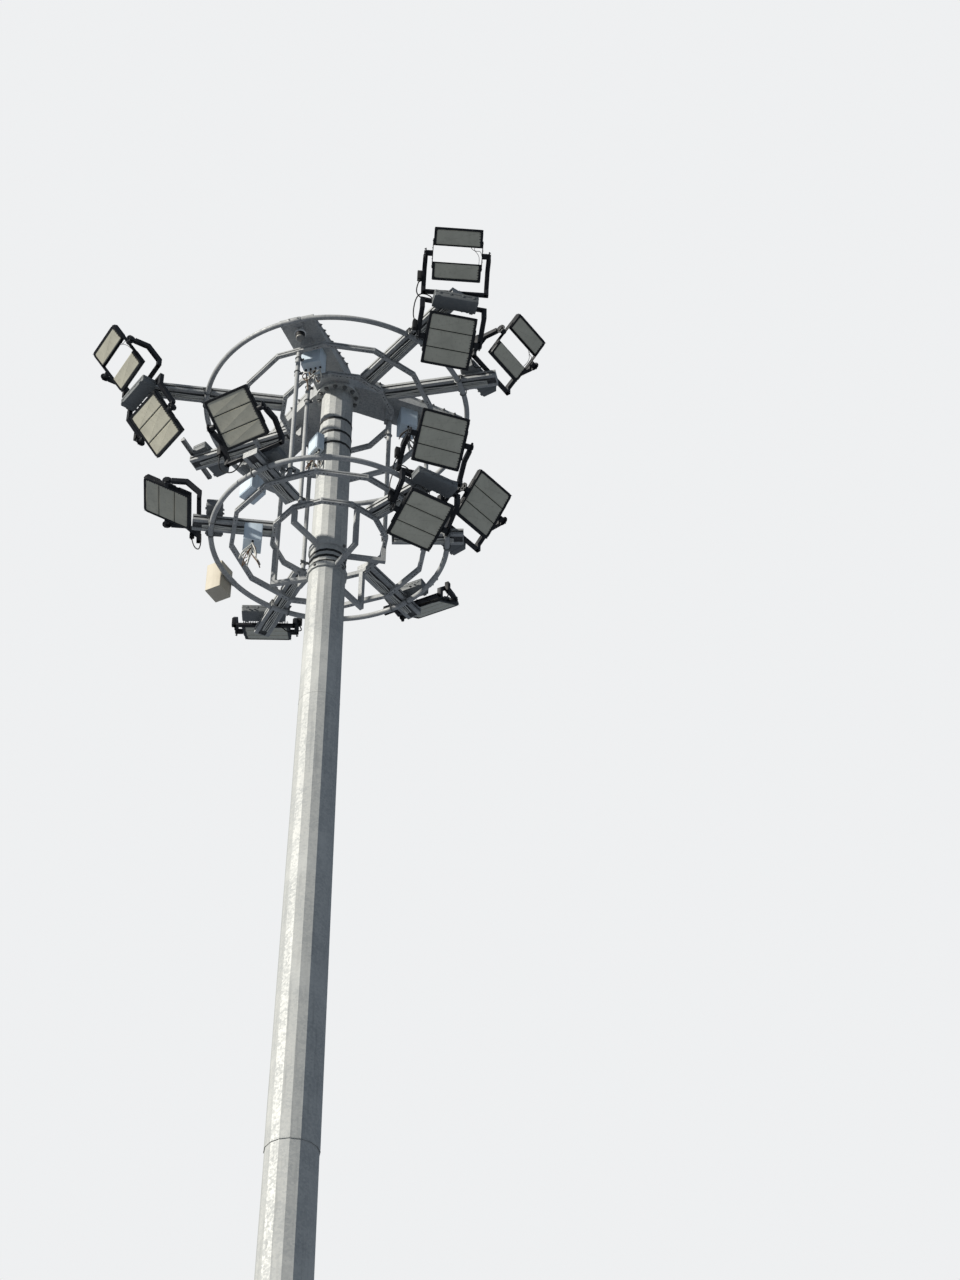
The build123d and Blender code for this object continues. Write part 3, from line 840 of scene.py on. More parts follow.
module_body = make_module_body()
module_marks = make_module_marks()
lamp_frame = make_lamp_frame()
half_module = module_height / 2
lens_shapes = {
    "middle": make_lens(-half_module - lens_overhang, half_module + lens_overhang),
    "end": make_lens(-half_module + rim_width, half_module + lens_overhang),
    "beside gap": make_lens(-half_module + rim_width, half_module - lens_overhang),
}
rims = {open_bay: make_rim(open_bay) for open_bay in (False, True)}

for number, lamp in floodlights.items():
    body = f"floodlight_{number}"
    place = lamp_place(number)
    bays = both if lamp.open_bay else (-1, 0, 1)
    bay_places = {bay: place @ Matrix.Translation((0, 0, bay * module_pitch)) for bay in bays}
    housing = join([
        repeat(module_body, bay_places.values(), keep=True),
        copy_to(lamp_frame, place),
        copy_to(rims[lamp.open_bay], place),
    ])
    finish_piece(smooth(housing), f"{body}_housing", body, lamp_coat, [body])
    covers = []
    for bay, bay_place in bay_places.items():
        shape = "middle" if bay == 0 else "beside gap" if lamp.open_bay else "end"
        half_turn = Matrix.Rotation(pi if bay > 0 else 0, 4, "Y")
        covers.append(copy_to(lens_shapes[shape], bay_place @ half_turn))
    finish_piece(smooth(join(covers)), f"{body}_covers", body, lens_cover)
    marks = repeat(module_marks, bay_places.values(), keep=True)
    finish_piece(smooth(marks), f"{body}_marks", body, black_rubber_and_shade)
discard(module_body, module_marks, lamp_frame, *lens_shapes.values(), *rims.values())


# Stirrups: local X across the lamp, Y the way it faces, Z up

def bar_outline(points, width):
    """Returns the outline of a flat bar of one width along a bent line."""
    runs = [(Vector(after) - Vector(before)).normalized() for before, after in zip(points, points[1:])]
    left = []
    right = []
    for point, arrive, leave in zip(points, [runs[0], *runs], [*runs, runs[-1]]):
        mid = (arrive + leave).normalized()
        side = Vector((-mid.y, mid.x)) * (width / 2 / max(0.3, mid.dot(leave)))
        left.append(tuple(Vector(point) + side))
        right.append(tuple(Vector(point) - side))
    return left + right[::-1]


def make_stirrup(mount):
    """Makes a stirrup: two cranked legs with a clamp disc each, and a bar across the foot."""
    pivot = mount_pivot[mount]
    if mount == "standing":
        knees = [(0, 0), (0, bracket_knee), (bracket_rise - bracket_knee, bracket_rise)]
    else:
        knees = [(0, 0), (0, -hanging_knee), (-hanging_reach, -hanging_knee - hanging_reach)]
    back_along_leg = (Vector(knees[-1]) - Vector(pivot)).normalized()
    knees.append(tuple(Vector(pivot) + back_along_leg * leg_end_gap))
    bar_z = mount_sign[mount] * foot_bar / 2
    pieces = [soften(block((2 * bracket_outer, bracket_bar, foot_bar), (0, 0, bar_z)), 0.002)]
    leg = plate([bar_outline(knees, bracket_bar)], bracket_side, 0.002)
    pin_hole = circle(24, pin_diameter + 0.0008, pivot)[::-1]
    disc = plate([circle(40, aim_disc_diameter, pivot), pin_hole], bracket_thickness)
    for side in both:
        x = side * (bracket_inner_width + bracket_thickness) / 2
        for part in (leg, disc):
            pieces.append(copy_to(part, axes_at(unit_x * x, unit_y, unit_z, unit_x)))
    discard(leg, disc)
    return join(pieces)


def make_leg_lead(mount):
    """Makes a plug on a stirrup's leg, clear of the lamp, and the lead that loops from it to the arm."""
    turn = mount_sign[mount]
    if mount == "standing":
        y = (bracket_rise - bracket_knee) * 0.55
        z = bracket_knee + y
    else:
        y = -hanging_reach * 0.8
        z = -hanging_knee - hanging_reach * 0.8
    x = bracket_inner_width / 2 + 0.055
    plug = soften(block((0.05, 0.055, 0.13), (x, y, z)), 0.006)
    gland = round_bar(0.013, 0.03, (x, y, z - turn * 0.075), "Z", 12)
    loop = [
        (x, y, z - turn * 0.075), (x + 0.03, y - 0.02, z - turn * 0.16), (x + 0.02, 0, -turn * 0.06),
        (x - 0.12, -0.03, -turn * 0.12), (x - 0.2, -0.03, -turn * 0.02), (x - 0.28, 0, turn * 0.02),
    ]
    return join([plug, gland, rod(loop, 0.014)])


def on_every_foot(make):
    """Returns one piece made of a shape on the foot of each stirrup, in its standing or hanging form."""
    shapes = {mount: make(mount) for mount in mount_sign}
    row = join([copy_to(shapes[lamp.mount], foot_place(number)) for number, lamp in floodlights.items()])
    discard(*shapes.values())
    return row


def bolt_row(name, bolt, places, slot="galvanised_frame"):
    """Sets copies of a bolt down in several frames as one fixed piece."""
    return finish_fixed(repeat(bolt, places), name, zinc_bolt, slot)


finish_fixed(on_every_foot(make_stirrup), "stirrups", dark_coat, "dark_bracket", "lamp_brackets")
finish_fixed(on_every_foot(make_leg_lead), "stirrup_leads", black_rubber_and_shade, "dark_bracket")

foot_bolts = []
lock_bolts = []
for number, lamp in floodlights.items():
    turn = mount_sign[lamp.mount]
    pivot_y, pivot_z = mount_pivot[lamp.mount]
    place = foot_place(number)
    for side in both:
        foot_bolts.append(place @ stand_on((side * foot_bolt_x, 0, turn * foot_bar), (0, 0, turn)))
        for angle in (60, 180, 300):
            y = pivot_y + lock_bolt_radius * cos(radians(angle))
            z = pivot_z + lock_bolt_radius * sin(radians(angle))
            lock_bolts.append(place @ stand_on((side * bracket_outer, y, z), (side, 0, 0)))
bolt_row("stirrup_foot_bolts", make_bolt(0.024, 0.015, 0.012), foot_bolts)
bolt_row("stirrup_lock_bolts", make_bolt(0.011, 0.007, 0.004), lock_bolts)


# Rings

def make_rod_clamp(pipe, leg):
    """Makes a round clamp bolt about a pipe on local X, its two legs rising along Z with nuts."""
    thickness = 0.012
    reach = pipe / 2 + thickness / 2
    bend = [(0, -reach * cos(radians(turn)), -reach * sin(radians(turn))) for turn in range(0, 181, 12)]
    bend = [(0, bend[0][1], leg), *bend, (0, bend[-1][1], leg)]
    strap = soft_block((0.034, pipe + 0.06, 0.006), (0, 0, leg - 0.022), 0.001)
    nuts = [round_bar(thickness * 0.95, 0.01, (0, side * reach, leg - 0.014), "Z", 6) for side in both]
    return join([rod(bend, thickness, "POLY", 2), strap, *nuts])


def make_round_ring(tier, joints):
    """Makes a round outer ring with a sleeve and two bolts over each joint."""
    deselect()
    bpy.ops.mesh.primitive_torus_add(
        location=(0, 0, tier_z[tier]),
        major_segments=168,
        minor_segments=18,
        major_radius=ring_radius[tier],
        minor_radius=ring_tube / 2,
    )
    pieces = [apply_place(bpy.context.object)]
    for azimuth in joints:
        place = upright_on(ring_radius[tier], azimuth, tier_z[tier])
        pieces.append(set_down(soften(round_bar(ring_tube / 2 + 0.004, 0.16, along="X"), 0.002), place))
        for x in (-0.05, 0.05):
            bolt = round_bar(0.009, 0.012, (x, ring_tube / 2 + 0.008, 0), "Y", 6)
            pieces.append(set_down(bolt, place))
    return join(pieces)


def side_turns():
    """Returns the turn that takes the first side of a channel ring to each of its 12 sides."""
    return [Matrix.Rotation(radians(30 * i - 90), 4, "Z") for i in range(12)]


def make_channel_ring(outer_radius, top):
    """Makes a 12-sided ring of slotted channel with mitred corners and a bolted splice at each."""
    flat = outer_radius * cos(channel_corner)
    depth = channel_size * cos(channel_corner)
    side = 2 * outer_radius * sin(channel_corner)
    run = block((side, depth, channel_size), (0, flat - depth / 2, top - channel_size / 2))
    recess(run, faces_to("Y"), 0.017, (0, -0.02, 0))
    for turn in both:
        cut_off(run, (0, 0, 0), (turn * cos(channel_corner), -sin(channel_corner), 0))
    bolt = make_bolt(0.018, 0.01, 0.004)
    for turn in both:
        for level, outward in ((top - channel_size, -1), (top, 1)):
            spot = (turn * (side / 2 - 0.045), flat - depth / 2, level)
            run = join([run, copy_to(bolt, stand_on(spot, (0, 0, outward)))])
    discard(bolt)
    return repeat(run, side_turns())


def make_slot_shade_ovals(outer_radius, top):
    """Makes black ovals on a channel ring's underside: painted shade that stands for the insides of its
    slots.
    """
    middle = outer_radius * cos(channel_corner) - channel_size * cos(channel_corner) / 2
    side = 2 * middle * sin(channel_corner) / cos(channel_corner)
    oval = round_edges(block((0.022, 0.009, 0.0008)), edges_along("Z"), 0.0044, 4)
    places = []
    for x in (-side / 2 + 0.085, -side / 2 + 0.125, side / 2 - 0.125, side / 2 - 0.085):
        spot = Matrix.Translation((x, middle, top - channel_size - 0.0002))
        places += [turn @ spot for turn in side_turns()]
    return repeat(oval, places)


def ring_crossing(name):
    """Returns the azimuth at which an arm's middle line crosses its tier's outer ring."""
    radius = ring_radius[arms[name][0]]
    place = arm_frame(name)[0]
    start = place.translation
    direction = place.to_3x3().col[0]
    along = -start.xy.dot(direction.xy)
    off = (start.xy + direction.xy * along).length
    return azimuth_of(start + direction * (along + (radius * radius - off * off) ** 0.5))


for tier, joints in (("upper", box_arm_azimuths), ("lower", (20, 140, 260))):
    ring = make_round_ring(tier, joints)
    finish_fixed(ring, f"{tier}_ring_tube", zinc_frame, "galvanised_frame", f"{tier}_outer_ring")
    for kind, radius in channel_radius.items():
        name = f"{tier}_{kind}_channel"
        ring = make_channel_ring(radius, ring_top[tier])
        finish_piece(ring, name, "tower", zinc_frame, [f"{tier}_{kind}_ring"])
        # Black ovals under the channel: painted shade for the insides of its slots
        slot_shade = make_slot_shade_ovals(radius, ring_top[tier])
        finish_piece(slot_shade, f"{name}_slots", "tower", black_rubber_and_shade)

clamp_places = []
for name, (tier, inner, foot) in arms.items():
    azimuth = ring_crossing(name)
    for side in both:
        aside = side * degrees(ring_clamp_gap / ring_radius[tier])
        spot = polar(ring_radius[tier], azimuth + aside, tier_z[tier])
        clamp_places.append(upright_at(spot, azimuth))
bolt_row("ring_clamps", make_rod_clamp(ring_tube, ring_tube / 2 + 0.05), clamp_places)

# Posts between the tiers
post_low = ring_top["lower"]
post_high = ring_top["upper"] - channel_size
post = soften(round_bar(post_tube / 2, post_high - post_low, (0, 0, (post_low + post_high) / 2)), 0.001, 1)
shoe_size = (0.07, 0.07, 0.008)
shoe_levels = (post_low + shoe_size[2] / 2, post_high - shoe_size[2] / 2)
shoes = [soft_block(shoe_size, (0, 0, level)) for level in shoe_levels]
post_feet = [
    polar(channel_flat[kind], first + 120 * i) for kind, first in post_azimuths.items() for i in range(3)
]
posts = repeat(join([post, *shoes]), [upright_at(spot, azimuth_of(spot)) for spot in post_feet])
finish_fixed(posts, "post_tubes", zinc_frame, "galvanised_frame", "tier_posts")

post_clamp_places = []
for spot in post_feet:
    azimuth = azimuth_of(spot)
    for level in (post_low + 0.1, post_high - 0.1, post_high - 0.32):
        at_level = spot + unit_z * level
        post_clamp_places.append(axes_at(at_level, unit_z, polar(1, azimuth + 90), polar(-1, azimuth)))
bolt_row("post_clamps", make_rod_clamp(post_tube, post_tube / 2 + 0.03), post_clamp_places)


# Headframe and flanges

def arm_underside(radius):
    """Returns the height of a box arm's underside, level over the head plate and sloping to the tip."""
    run = min(max(radius - box_arm_root, 0), box_arm_reach - box_arm_root)
    return box_arm_bottom - box_arm_fall / (box_arm_reach - box_arm_root) * run


def side_place(azimuth, offset):
    """Returns a frame on a box arm's side: local X outwards, Y up and Z across the arm."""
    across = polar(1, azimuth - 90)
    return axes_at(across * offset, polar(1, azimuth), unit_z, across)


top_edge = box_arm_bottom + box_arm_root_height
tip_edge = arm_underside(box_arm_reach) + box_arm_tip_height
lip_end = box_arm_reach - 0.02
lip_thickness = 0.005
lip_outline = [
    (box_arm_root, top_edge - 0.04), (lip_end, tip_edge - 0.034),
    (lip_end, tip_edge), (box_arm_root, top_edge),
]
lip_places = []
lip_bolts = []
for azimuth in box_arm_azimuths:
    for side in both:
        lip_places.append(side_place(azimuth, side * (box_arm_width / 2 + lip_thickness / 2)))
        for i in range(9):
            x = box_arm_root + (box_arm_reach - 0.03 - box_arm_root) * ((i + 0.5) / 9)
            z = top_edge - 0.018 + (tip_edge - top_edge) * (x - box_arm_root) / (box_arm_reach - box_arm_root)
            face = side_place(azimuth, side * (box_arm_width / 2 + lip_thickness)) @ Vector((x, z, 0))
            lip_bolts.append(stand_on(face, polar(side, azimuth - 90)))
lips = repeat(plate([lip_outline], lip_thickness, 0.001), lip_places)
finish_piece(lips, "box_arm_lips", "tower", zinc_frame)
bolt_row("box_arm_bolts", make_bolt(0.022, 0.012, 0.01), lip_bolts)

top_flange = plate([circle(96, top_flange_diameter), circle(64, top_flange_bore)[::-1]], top_flange_thickness)
set_down(top_flange, Matrix.Translation((0, 0, mast_top_z + top_flange_thickness / 2)))
finish_fixed(top_flange, "top_flange", zinc_mast, "galvanised_mast", "mast_top_flange")
head_bolts = [
    stand_on(polar(top_bolt_circle / 2, 360 / top_bolt_count * (i + 0.5), mast_top_z), (0, 0, -1))
    for i in range(top_bolt_count)
]
bolt_row("top_flange_bolts", make_bolt(0.036, 0.022, 0.016), head_bolts, "galvanised_mast")

anchor_spots = [polar(anchor_circle / 2, 360 / anchor_count * i) for i in range(anchor_count)]
flange_lines = [circle(120, flange_diameter), circle(96, flange_bore)[::-1]]
flange_lines += [circle(28, anchor_hole, spot.xy)[::-1] for spot in anchor_spots]
foot_flange = plate(flange_lines, flange_thickness, 0.003)
set_down(foot_flange, Matrix.Translation((0, 0, flange_thickness / 2)))
finish_fixed(foot_flange, "foot_flange", zinc_mast, "galvanised_mast", "base_flange")
anchor_nut = join([make_bolt(0.055, 0.032, 0.04), round_bar(0.018, 0.048, (0, 0, -0.024), "Z", 14)])
anchor_places = [stand_on(spot + unit_z * flange_thickness, unit_z) for spot in anchor_spots]
bolt_row("anchor_bolts", anchor_nut, anchor_places, "galvanised_mast")


# Mast

def make_mast_sleeve(level, half_height, wall, stand_off=skin_gap):
    """Makes a thin 16-sided sleeve round the top mast section, centred on a height."""
    to_corner = 1 / cos(pi / mast_sides)
    low = level - half_height
    high = level + half_height
    deselect()
    bpy.ops.mesh.primitive_cone_add(
        vertices=mast_sides,
        radius1=(mast_width(low) / 2 + stand_off) * to_corner,
        radius2=(mast_width(high) / 2 + stand_off) * to_corner,
        depth=high - low,
        end_fill_type="NOTHING",
        location=(0, 0, (low + high) / 2),
        rotation=(0, 0, pi / mast_sides),
    )
    sleeve = apply_place(bpy.context.object)
    thicken = sleeve.modifiers.new("wall", "SOLIDIFY")
    thicken.thickness = wall
    thicken.offset = 1
    bpy.ops.object.modifier_apply(modifier=thicken.name)
    return sleeve


# Black bands all round the mast under each tier: painted shadows of the outer ring and the two channel rings
ring_shadow_levels = (24.92, 24.71, 24.53, 22.84, 22.76, 22.68)
ring_shadow_bands = join([soften(make_mast_sleeve(z, 0.016, 0.004), 0.001, 1) for z in ring_shadow_levels])
finish_piece(ring_shadow_bands, "mast_ring_shadows", "tower", black_rubber_and_shade)
welds = join([make_mast_sleeve(z, 0.004, 0.0018, 0.0) for z in (20.8, 15.394)])
finish_piece(welds, "mast_welds", "tower", zinc_mast)

band_bolts = []
for drop, strut_azimuths in zip(collar_drops, collar_strut_azimuths):
    level = tier_z["lower"] - drop + collar_band_height / 2
    reach = mast_width(level) / 2 + skin_gap + collar_band_wall
    for azimuth in (45, 135, 225, 315):
        if azimuth not in strut_azimuths:
            band_bolts.append(stand_on(polar(reach, azimuth, level), polar(1, azimuth)))
bolt_row("collar_bolts", make_bolt(0.026, 0.015, 0.012), band_bolts)


# Driver boxes: local X along the box, Y outwards and Z up

def make_driver_box():
    """Makes a driver box: a ribbed tray, a lid with a seam, feet and glands."""
    length, depth, height = driver_size
    tray = block((length - 0.004, depth - 0.004, height * 0.6), (0, 0, height * 0.32))
    round_edges(tray, edges_along("Z"), 0.012)
    lid = block((length, depth, height * 0.3), (0, 0, height * 0.79))
    round_edges(lid, edges_along("Z"), 0.014)
    recess(lid, faces_to("Z"), 0.014, (0, 0, height * 0.06))
    pieces = [soften(tray, 0.003), soften(lid, 0.0025)]
    for side in both:
        for x in (-0.19, -0.07, 0.07, 0.19):
            spot = (x, side * (depth / 2 + 0.001), height * 0.62)
            pieces.append(soft_block((0.024, 0.006, 0.03), spot))
    for x in (-0.2, 0.2):
        pieces.append(soft_block((0.04, depth + 0.02, 0.004), (x, 0, 0.002), 0.001))
    for x in (-0.16, -0.1, 0.1, 0.16):
        pieces.append(round_bar(0.011, 0.02, (x, -depth / 2 - 0.009, height * 0.3), "Y", 12, 0.009))
    return join(pieces)


under_foot = Matrix.Translation((0, driver_ahead, -bracket_thickness - driver_size[2]))
behind_foot = Matrix.Translation((0, -driver_behind, 0))
driver_places = []
for number, lamp in floodlights.items():
    if lamp.mount == "hanging":
        driver_places.append(foot_place(number) @ under_foot)
    elif lamp.arm not in shared_arms:
        driver_places.append(foot_place(number) @ behind_foot)
driver_places.append(upright_on(*bare_arm_driver, beam_top["upper"]))
drivers = repeat(make_driver_box(), driver_places)
finish_fixed(drivers, "driver_housings", driver_coat, "driver_box", "driver_boxes")


# Junction boxes: local Y out of the lid and Z up

def make_enclosure(width, depth, height, sloped_top=0.0):
    """Makes a box with a lid seam and screws, centred over the middle of its underside."""
    body = block((width, depth, height), (0, 0, height / 2))
    if sloped_top:
        pick(body, "edges", lambda centre, way: centre.z > height * 0.9 and centre.y < -depth * 0.4)
        bpy.ops.transform.translate(value=(0, 0, sloped_top))
        done(body)
    round_edges(body, edges_along("Z", 0.5), 0.01)
    recess(body, faces_to("Y"), 0.008, (0, -0.005, 0))
    recess(body, lambda centre, way: way.y > 0.9 and centre.y < depth / 2 - 0.003, 0.004, (0, 0.009, 0))
    pieces = [soften(body, 0.0015, 1)]
    for side in both:
        for level in (0.024, height - 0.024):
            spot = (side * (width / 2 - 0.024), depth / 2 + 0.002, level)
            pieces.append(round_bar(0.006, 0.006, spot, "Y", 8))
    return join(pieces)


def gland_x(width, count, index):
    """Returns how far along a box one of its glands sits."""
    return (index - (count - 1) / 2) * ((width - 0.06) / max(1, count - 1))


def make_glands(width, count):
    """Makes a row of cable glands under a box."""
    glands = []
    for i in range(count):
        x = gland_x(width, count, i)
        glands.append(round_bar(0.013, 0.012, (x, 0, -0.006), "Z", 6))
        glands.append(round_bar(0.009, 0.016, (x, 0, -0.018), "Z", 12, 0.006))
    return join(glands)


def make_lead_loops(width, count, drops):
    """Makes leads that leave one gland under a box, hang in a loop and return to another."""
    loops = []
    for i, (drop, away) in enumerate(zip(drops, (-0.04, 0.07, 0.03, -0.08, 0.1))):
        first = gland_x(width, count, i % count)
        last = gland_x(width, count, (i * 2 + 1) % count)
        bulge = (last - first) * 0.2
        loops.append(rod(
            [
                (first, 0, -0.02), (first, 0, -0.05), (first - bulge, away, -drop * 0.6),
                ((first + last) / 2, away * 1.4, -drop), (last + bulge, away, -drop * 0.55),
                (last, 0, -0.05), (last, 0, -0.02),
            ],
            0.012 if i % 2 else 0.016,
        ))
    return join(loops)


box_size = (junction_width, junction_depth, junction_height)
far_radius = junction_radius + junction_depth / 2
slope_rise = arm_underside(junction_radius - junction_depth / 2) - arm_underside(far_radius)

# Each box has a frame, a size and a number of glands
boxes = []
for azimuth in (box_arm_azimuths[0], box_arm_azimuths[2]):
    place = upright_on(junction_radius, azimuth, arm_underside(far_radius) - junction_height)
    boxes.append((place, (*box_size, slope_rise), 4))
arm_e_place = arm_frame("lower_arm_e")[0]
arm_box = arm_e_place @ Vector((junction_along, 0, -junction_height))
boxes.append((upright_at(arm_box, azimuth_of(arm_e_place.to_3x3().col[0])), box_size, 4))
boxes.append((upright_on(channel_flat["mid"], ring_box_azimuth, ring_top["lower"]), box_size, 0))
mast_box_low = tier_z["upper"] - mast_box_drop - junction_height / 2
mast_box_reach = mast_width(mast_box_low) / 2 + skin_gap + junction_depth / 4
mast_box_size = (junction_depth, junction_depth / 2, junction_height)
boxes.append((upright_on(mast_box_reach, mast_box_azimuth, mast_box_low), mast_box_size, 4))

shells = []
glands = []
dark_loops = []
pale_loops = []
for place, sizes, count in boxes:
    shells.append(set_down(make_enclosure(*sizes), place))
    if count:
        width = sizes[0]
        glands.append(set_down(make_glands(width, count), place))
        dark_loops.append(set_down(make_lead_loops(width, count, (0.2, 0.31, 0.15, 0.26)), place))
        pale_loops.append(set_down(make_lead_loops(width, count, (0.24, 0.17, 0.33, 0.21, 0.28)), place))
finish_fixed(join(shells), "junction_shells", box_enamel, "junction_box", "junction_boxes")
finish_fixed(join(glands), "junction_glands", black_rubber_and_shade, "junction_box")
finish_fixed(join(dark_loops), "junction_dark_leads", brown_sheath, "junction_box")
finish_fixed(join(pale_loops), "junction_pale_leads", pale_sheath, "junction_box")

hung_reach = ring_radius["lower"] + ring_tube / 2 + seat_gap + junction_depth / 2
hung_box_place = upright_on(hung_reach, hung_box_azimuth, tier_z["lower"] - hung_box_height / 2)
hung_shell = set_down(make_enclosure(junction_width, junction_depth, hung_box_height), hung_box_place)
finish_fixed(hung_shell, "hung_box_shell", cream_enamel, "junction_box")

# Dome camera under the tip of the third box arm
dome_place = upright_on(dome_radius, box_arm_azimuths[2], arm_underside(dome_radius) - dome_stem)
plinth = soften(block((0.07, 0.07, 0.02), (0, 0, dome_stem - 0.01)), 0.003)
hood = soften(round_bar(0.062, dome_stem, (0, 0, dome_stem / 2 - 0.016), "Z", 40, 0.04), 0.003)
hood_lip = soften(round_bar(0.066, 0.012, (0, 0, -0.018), "Z", 40), 0.003)
camera_cap = set_down(join([plinth, hood, hood_lip]), dome_place)
finish_fixed(camera_cap, "camera_cap", dome_plastic, "dome_shell", "dome_camera")
band = soften(round_bar(0.05, 0.05, (0, 0, -0.047), "Z", 40, 0.056), 0.004)
finish_fixed(set_down(band, dome_place), "camera_band", black_rubber_and_shade, "dome_shell")
deselect()
dome_centre = (0, 0, -dome_skirt - 0.02)
bpy.ops.mesh.primitive_uv_sphere_add(segments=40, ring_count=20, radius=0.046, location=dome_centre)
dome = set_down(apply_place(bpy.context.object), dome_place)
finish_fixed(dome, "camera_dome", dome_grey, "dome_shell")

# Cover over the base door, with its screws and a lock
door_face = (mast_width(door_low_z) - lower_section_step) / 2 + 0.01
door_place = upright_on(door_face, door_azimuth, door_low_z + door_height / 2)
cover_width = door_width + 0.02
cover_thickness = 0.008
cover = block((cover_width, cover_thickness, door_height + 0.02), (0, cover_thickness / 2, 0))
round_edges(cover, edges_along("Y"), cover_width * 0.49, 16)
set_down(soften(cover, 0.002), door_place)
finish_fixed(cover, "door_cover", zinc_mast, "galvanised_mast", "base_door")
screw_places = []
for x, z in ((0, 0.45), (0, -0.45), (0.105, 0.25), (-0.105, 0.25), (0.105, -0.25), (-0.105, -0.25)):
    screw_places.append(door_place @ stand_on((x, cover_thickness, z), unit_y))
bolt_row("door_screws", make_bolt(0.024, 0.012, 0.0), screw_places, "galvanised_mast")
lock = round_bar(0.022, 0.012, (0, 0.014, 0), "Y")
recess(lock, faces_to("Y"), 0.006, (0, -0.006, 0))
set_down(soften(lock), door_place)
finish_fixed(lock, "door_lock", zinc_bolt, "galvanised_mast")

# The bare mount at the end of the arm that has lost its lamp: a cross channel with its bolts
bare_place, bare_length = arm_frame("upper_arm_d")
mount_place = bare_place @ Matrix.Translation((bare_length - 0.03, 0, beam_height))
channel_height = 0.04
channel = block((0.052, 0.7, channel_height), (0, 0, channel_height / 2))
recess(channel, faces_to("Z", -1), 0.005, (0, 0, 0.034))
recess(channel, faces_to("X", -1), 0.012, (0.003, 0, 0))
set_down(soften(channel, 0.0015, 1), mount_place)
finish_fixed(channel, "bare_mount", zinc_frame, "galvanised_frame")
mount_bolts = [mount_place @ stand_on((0, y, channel_height), unit_z) for y in (-0.33, -0.045, 0.045, 0.33)]
bolt_row("bare_mount_bolts", make_bolt(0.024, 0.015, 0.012), mount_bolts)


# Leads along each arm, laid in its tray and tied to it
# Each strand has a place across the tray, a diameter and the phase of its bends
arm_strands = ((-0.028, 0.014, 0), (-0.008, 0.01, 1.1), (0.012, 0.014, 2.3), (0.03, 0.011, 3.4))


def make_arm_leads(length):
    """Makes the leads that lie along an arm and sag a little between their ties."""
    ties = 7
    sag = 0.012
    wander = 0.008
    leads = []
    for middle, size, phase in arm_strands:
        points = []
        for i in range(ties):
            x = 0.02 + (length - 0.12) * i / (ties - 1)
            y = middle + wander * sin(phase + 2.1 * i)
            points.append((x, y, -0.012 - sag * abs(sin(phase + 1.3 * i))))
        leads.append(rod(points, size))
    return join(leads)


arm_leads = []
for name in arms:
    place, length = arm_frame(name)
    arm_leads.append(set_down(make_arm_leads(length), place))
finish_fixed(join(arm_leads), "arm_leads", pale_sheath, "junction_box")

# Leads across the bays that have lost their module
bay_lines = (
    [
        (-0.2, -0.03, 0.12), (-0.17, -0.01, 0.07), (-0.22, 0, 0.03),
        (-0.25, -0.01, -0.03), (-0.24, -0.03, -0.12),
    ],
    [(-0.15, -0.03, 0.12), (-0.14, -0.01, 0.08), (-0.2, 0, 0.05), (-0.26, -0.01, 0.06), (-0.27, -0.02, 0)],
)
for number, lamp in floodlights.items():
    if lamp.open_bay:
        leads = set_down(join([rod(line, 0.006) for line in bay_lines]), lamp_place(number))
        body = f"floodlight_{number}"
        finish_piece(smooth(leads), f"{body}_leads", body, black_rubber_and_shade)

# Ground
deselect()
bpy.ops.mesh.primitive_plane_add(size=160, location=(0, 0, 0))
floor = bpy.context.object
floor.name = "floor"


def make_floor_material():
    """A pale matt floor that throws only a little light up at the crown."""
    material, tree, shader = new_material("pale floor")
    path = tree.nodes.new("ShaderNodeLightPath")
    seen = mix_colour(tree, path.outputs["Is Camera Ray"], (0.26, 0.285, 0.33), (0.78, 0.78, 0.77))
    feed(tree, seen, shader.inputs["Base Color"])
    shader.inputs["Roughness"].default_value = 0.9
    return material


floor.data.materials.append(make_floor_material())


# Light and camera

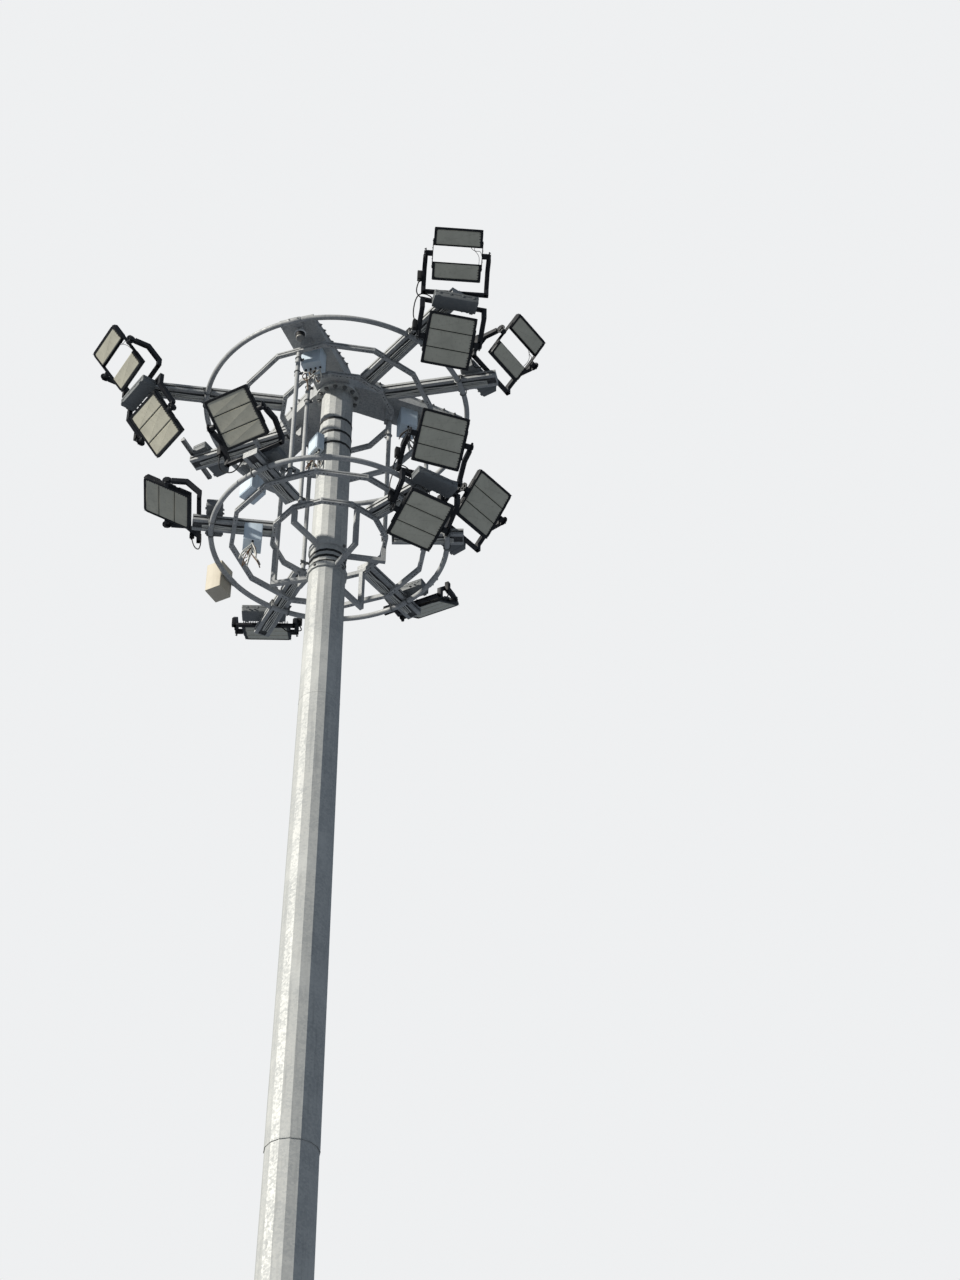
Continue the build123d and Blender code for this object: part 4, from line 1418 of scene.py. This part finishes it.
def make_world():
    """A plain pale studio sky, with a steady light level on the object."""
    world = bpy.data.worlds.new("studio")
    bpy.context.scene.world = world
    world.use_nodes = True
    tree = world.node_tree
    tree.nodes.clear()
    light = add_node(tree, "ShaderNodeBackground", Color=(0.70, 0.83, 1.0), Strength=0.2)
    backdrop = add_node(tree, "ShaderNodeBackground", Color=(0.86, 0.87, 0.88), Strength=1.0)
    path = tree.nodes.new("ShaderNodeLightPath")
    mix = add_node(tree, "ShaderNodeMixShader", Fac=path.outputs["Is Camera Ray"])
    tree.links.new(light.outputs["Background"], mix.inputs[1])
    tree.links.new(backdrop.outputs["Background"], mix.inputs[2])
    add_node(tree, "ShaderNodeOutputWorld", Surface=mix.outputs["Shader"])


def add_sun(name, azimuth, elevation, strength, softness, colour):
    """Adds a soft distant lamp that shines from an azimuth and elevation."""
    data = bpy.data.lights.new(name, "SUN")
    data.energy = strength
    data.angle = radians(softness)
    data.color = colour
    sun = bpy.data.objects.new(name, data)
    bpy.context.scene.collection.objects.link(sun)
    source = polar(cos(radians(elevation)), azimuth, sin(radians(elevation)))
    sun.rotation_mode = "QUATERNION"
    sun.rotation_quaternion = source.to_track_quat("Z", "Y")


make_world()
add_sun("key light", azimuth=200, elevation=24, strength=4.6, softness=3, colour=(1.0, 0.97, 0.9))
add_sun("fill light", azimuth=320, elevation=50, strength=0.15, softness=60, colour=(0.7, 0.84, 1.0))

camera_place = Vector((-2.114, -23.009, 1.6))
camera_azimuth = 80.57
camera_pitch = 41.135
camera_roll = radians(0.725)

camera_data = bpy.data.cameras.new("camera")
camera_data.sensor_width = 36
camera_data.lens = 80.16
camera_data.clip_end = 500
camera = bpy.data.objects.new("camera", camera_data)
bpy.context.scene.collection.objects.link(camera)
forward = polar(cos(radians(camera_pitch)), camera_azimuth, sin(radians(camera_pitch)))
level = forward.cross(unit_z).normalized()
above = level.cross(forward)
right = level * cos(camera_roll) + above * sin(camera_roll)
up = above * cos(camera_roll) - level * sin(camera_roll)
camera.matrix_world = axes_at(camera_place, right, up, -forward)
bpy.context.scene.camera = camera
bpy.context.scene.view_settings.view_transform = "Standard"
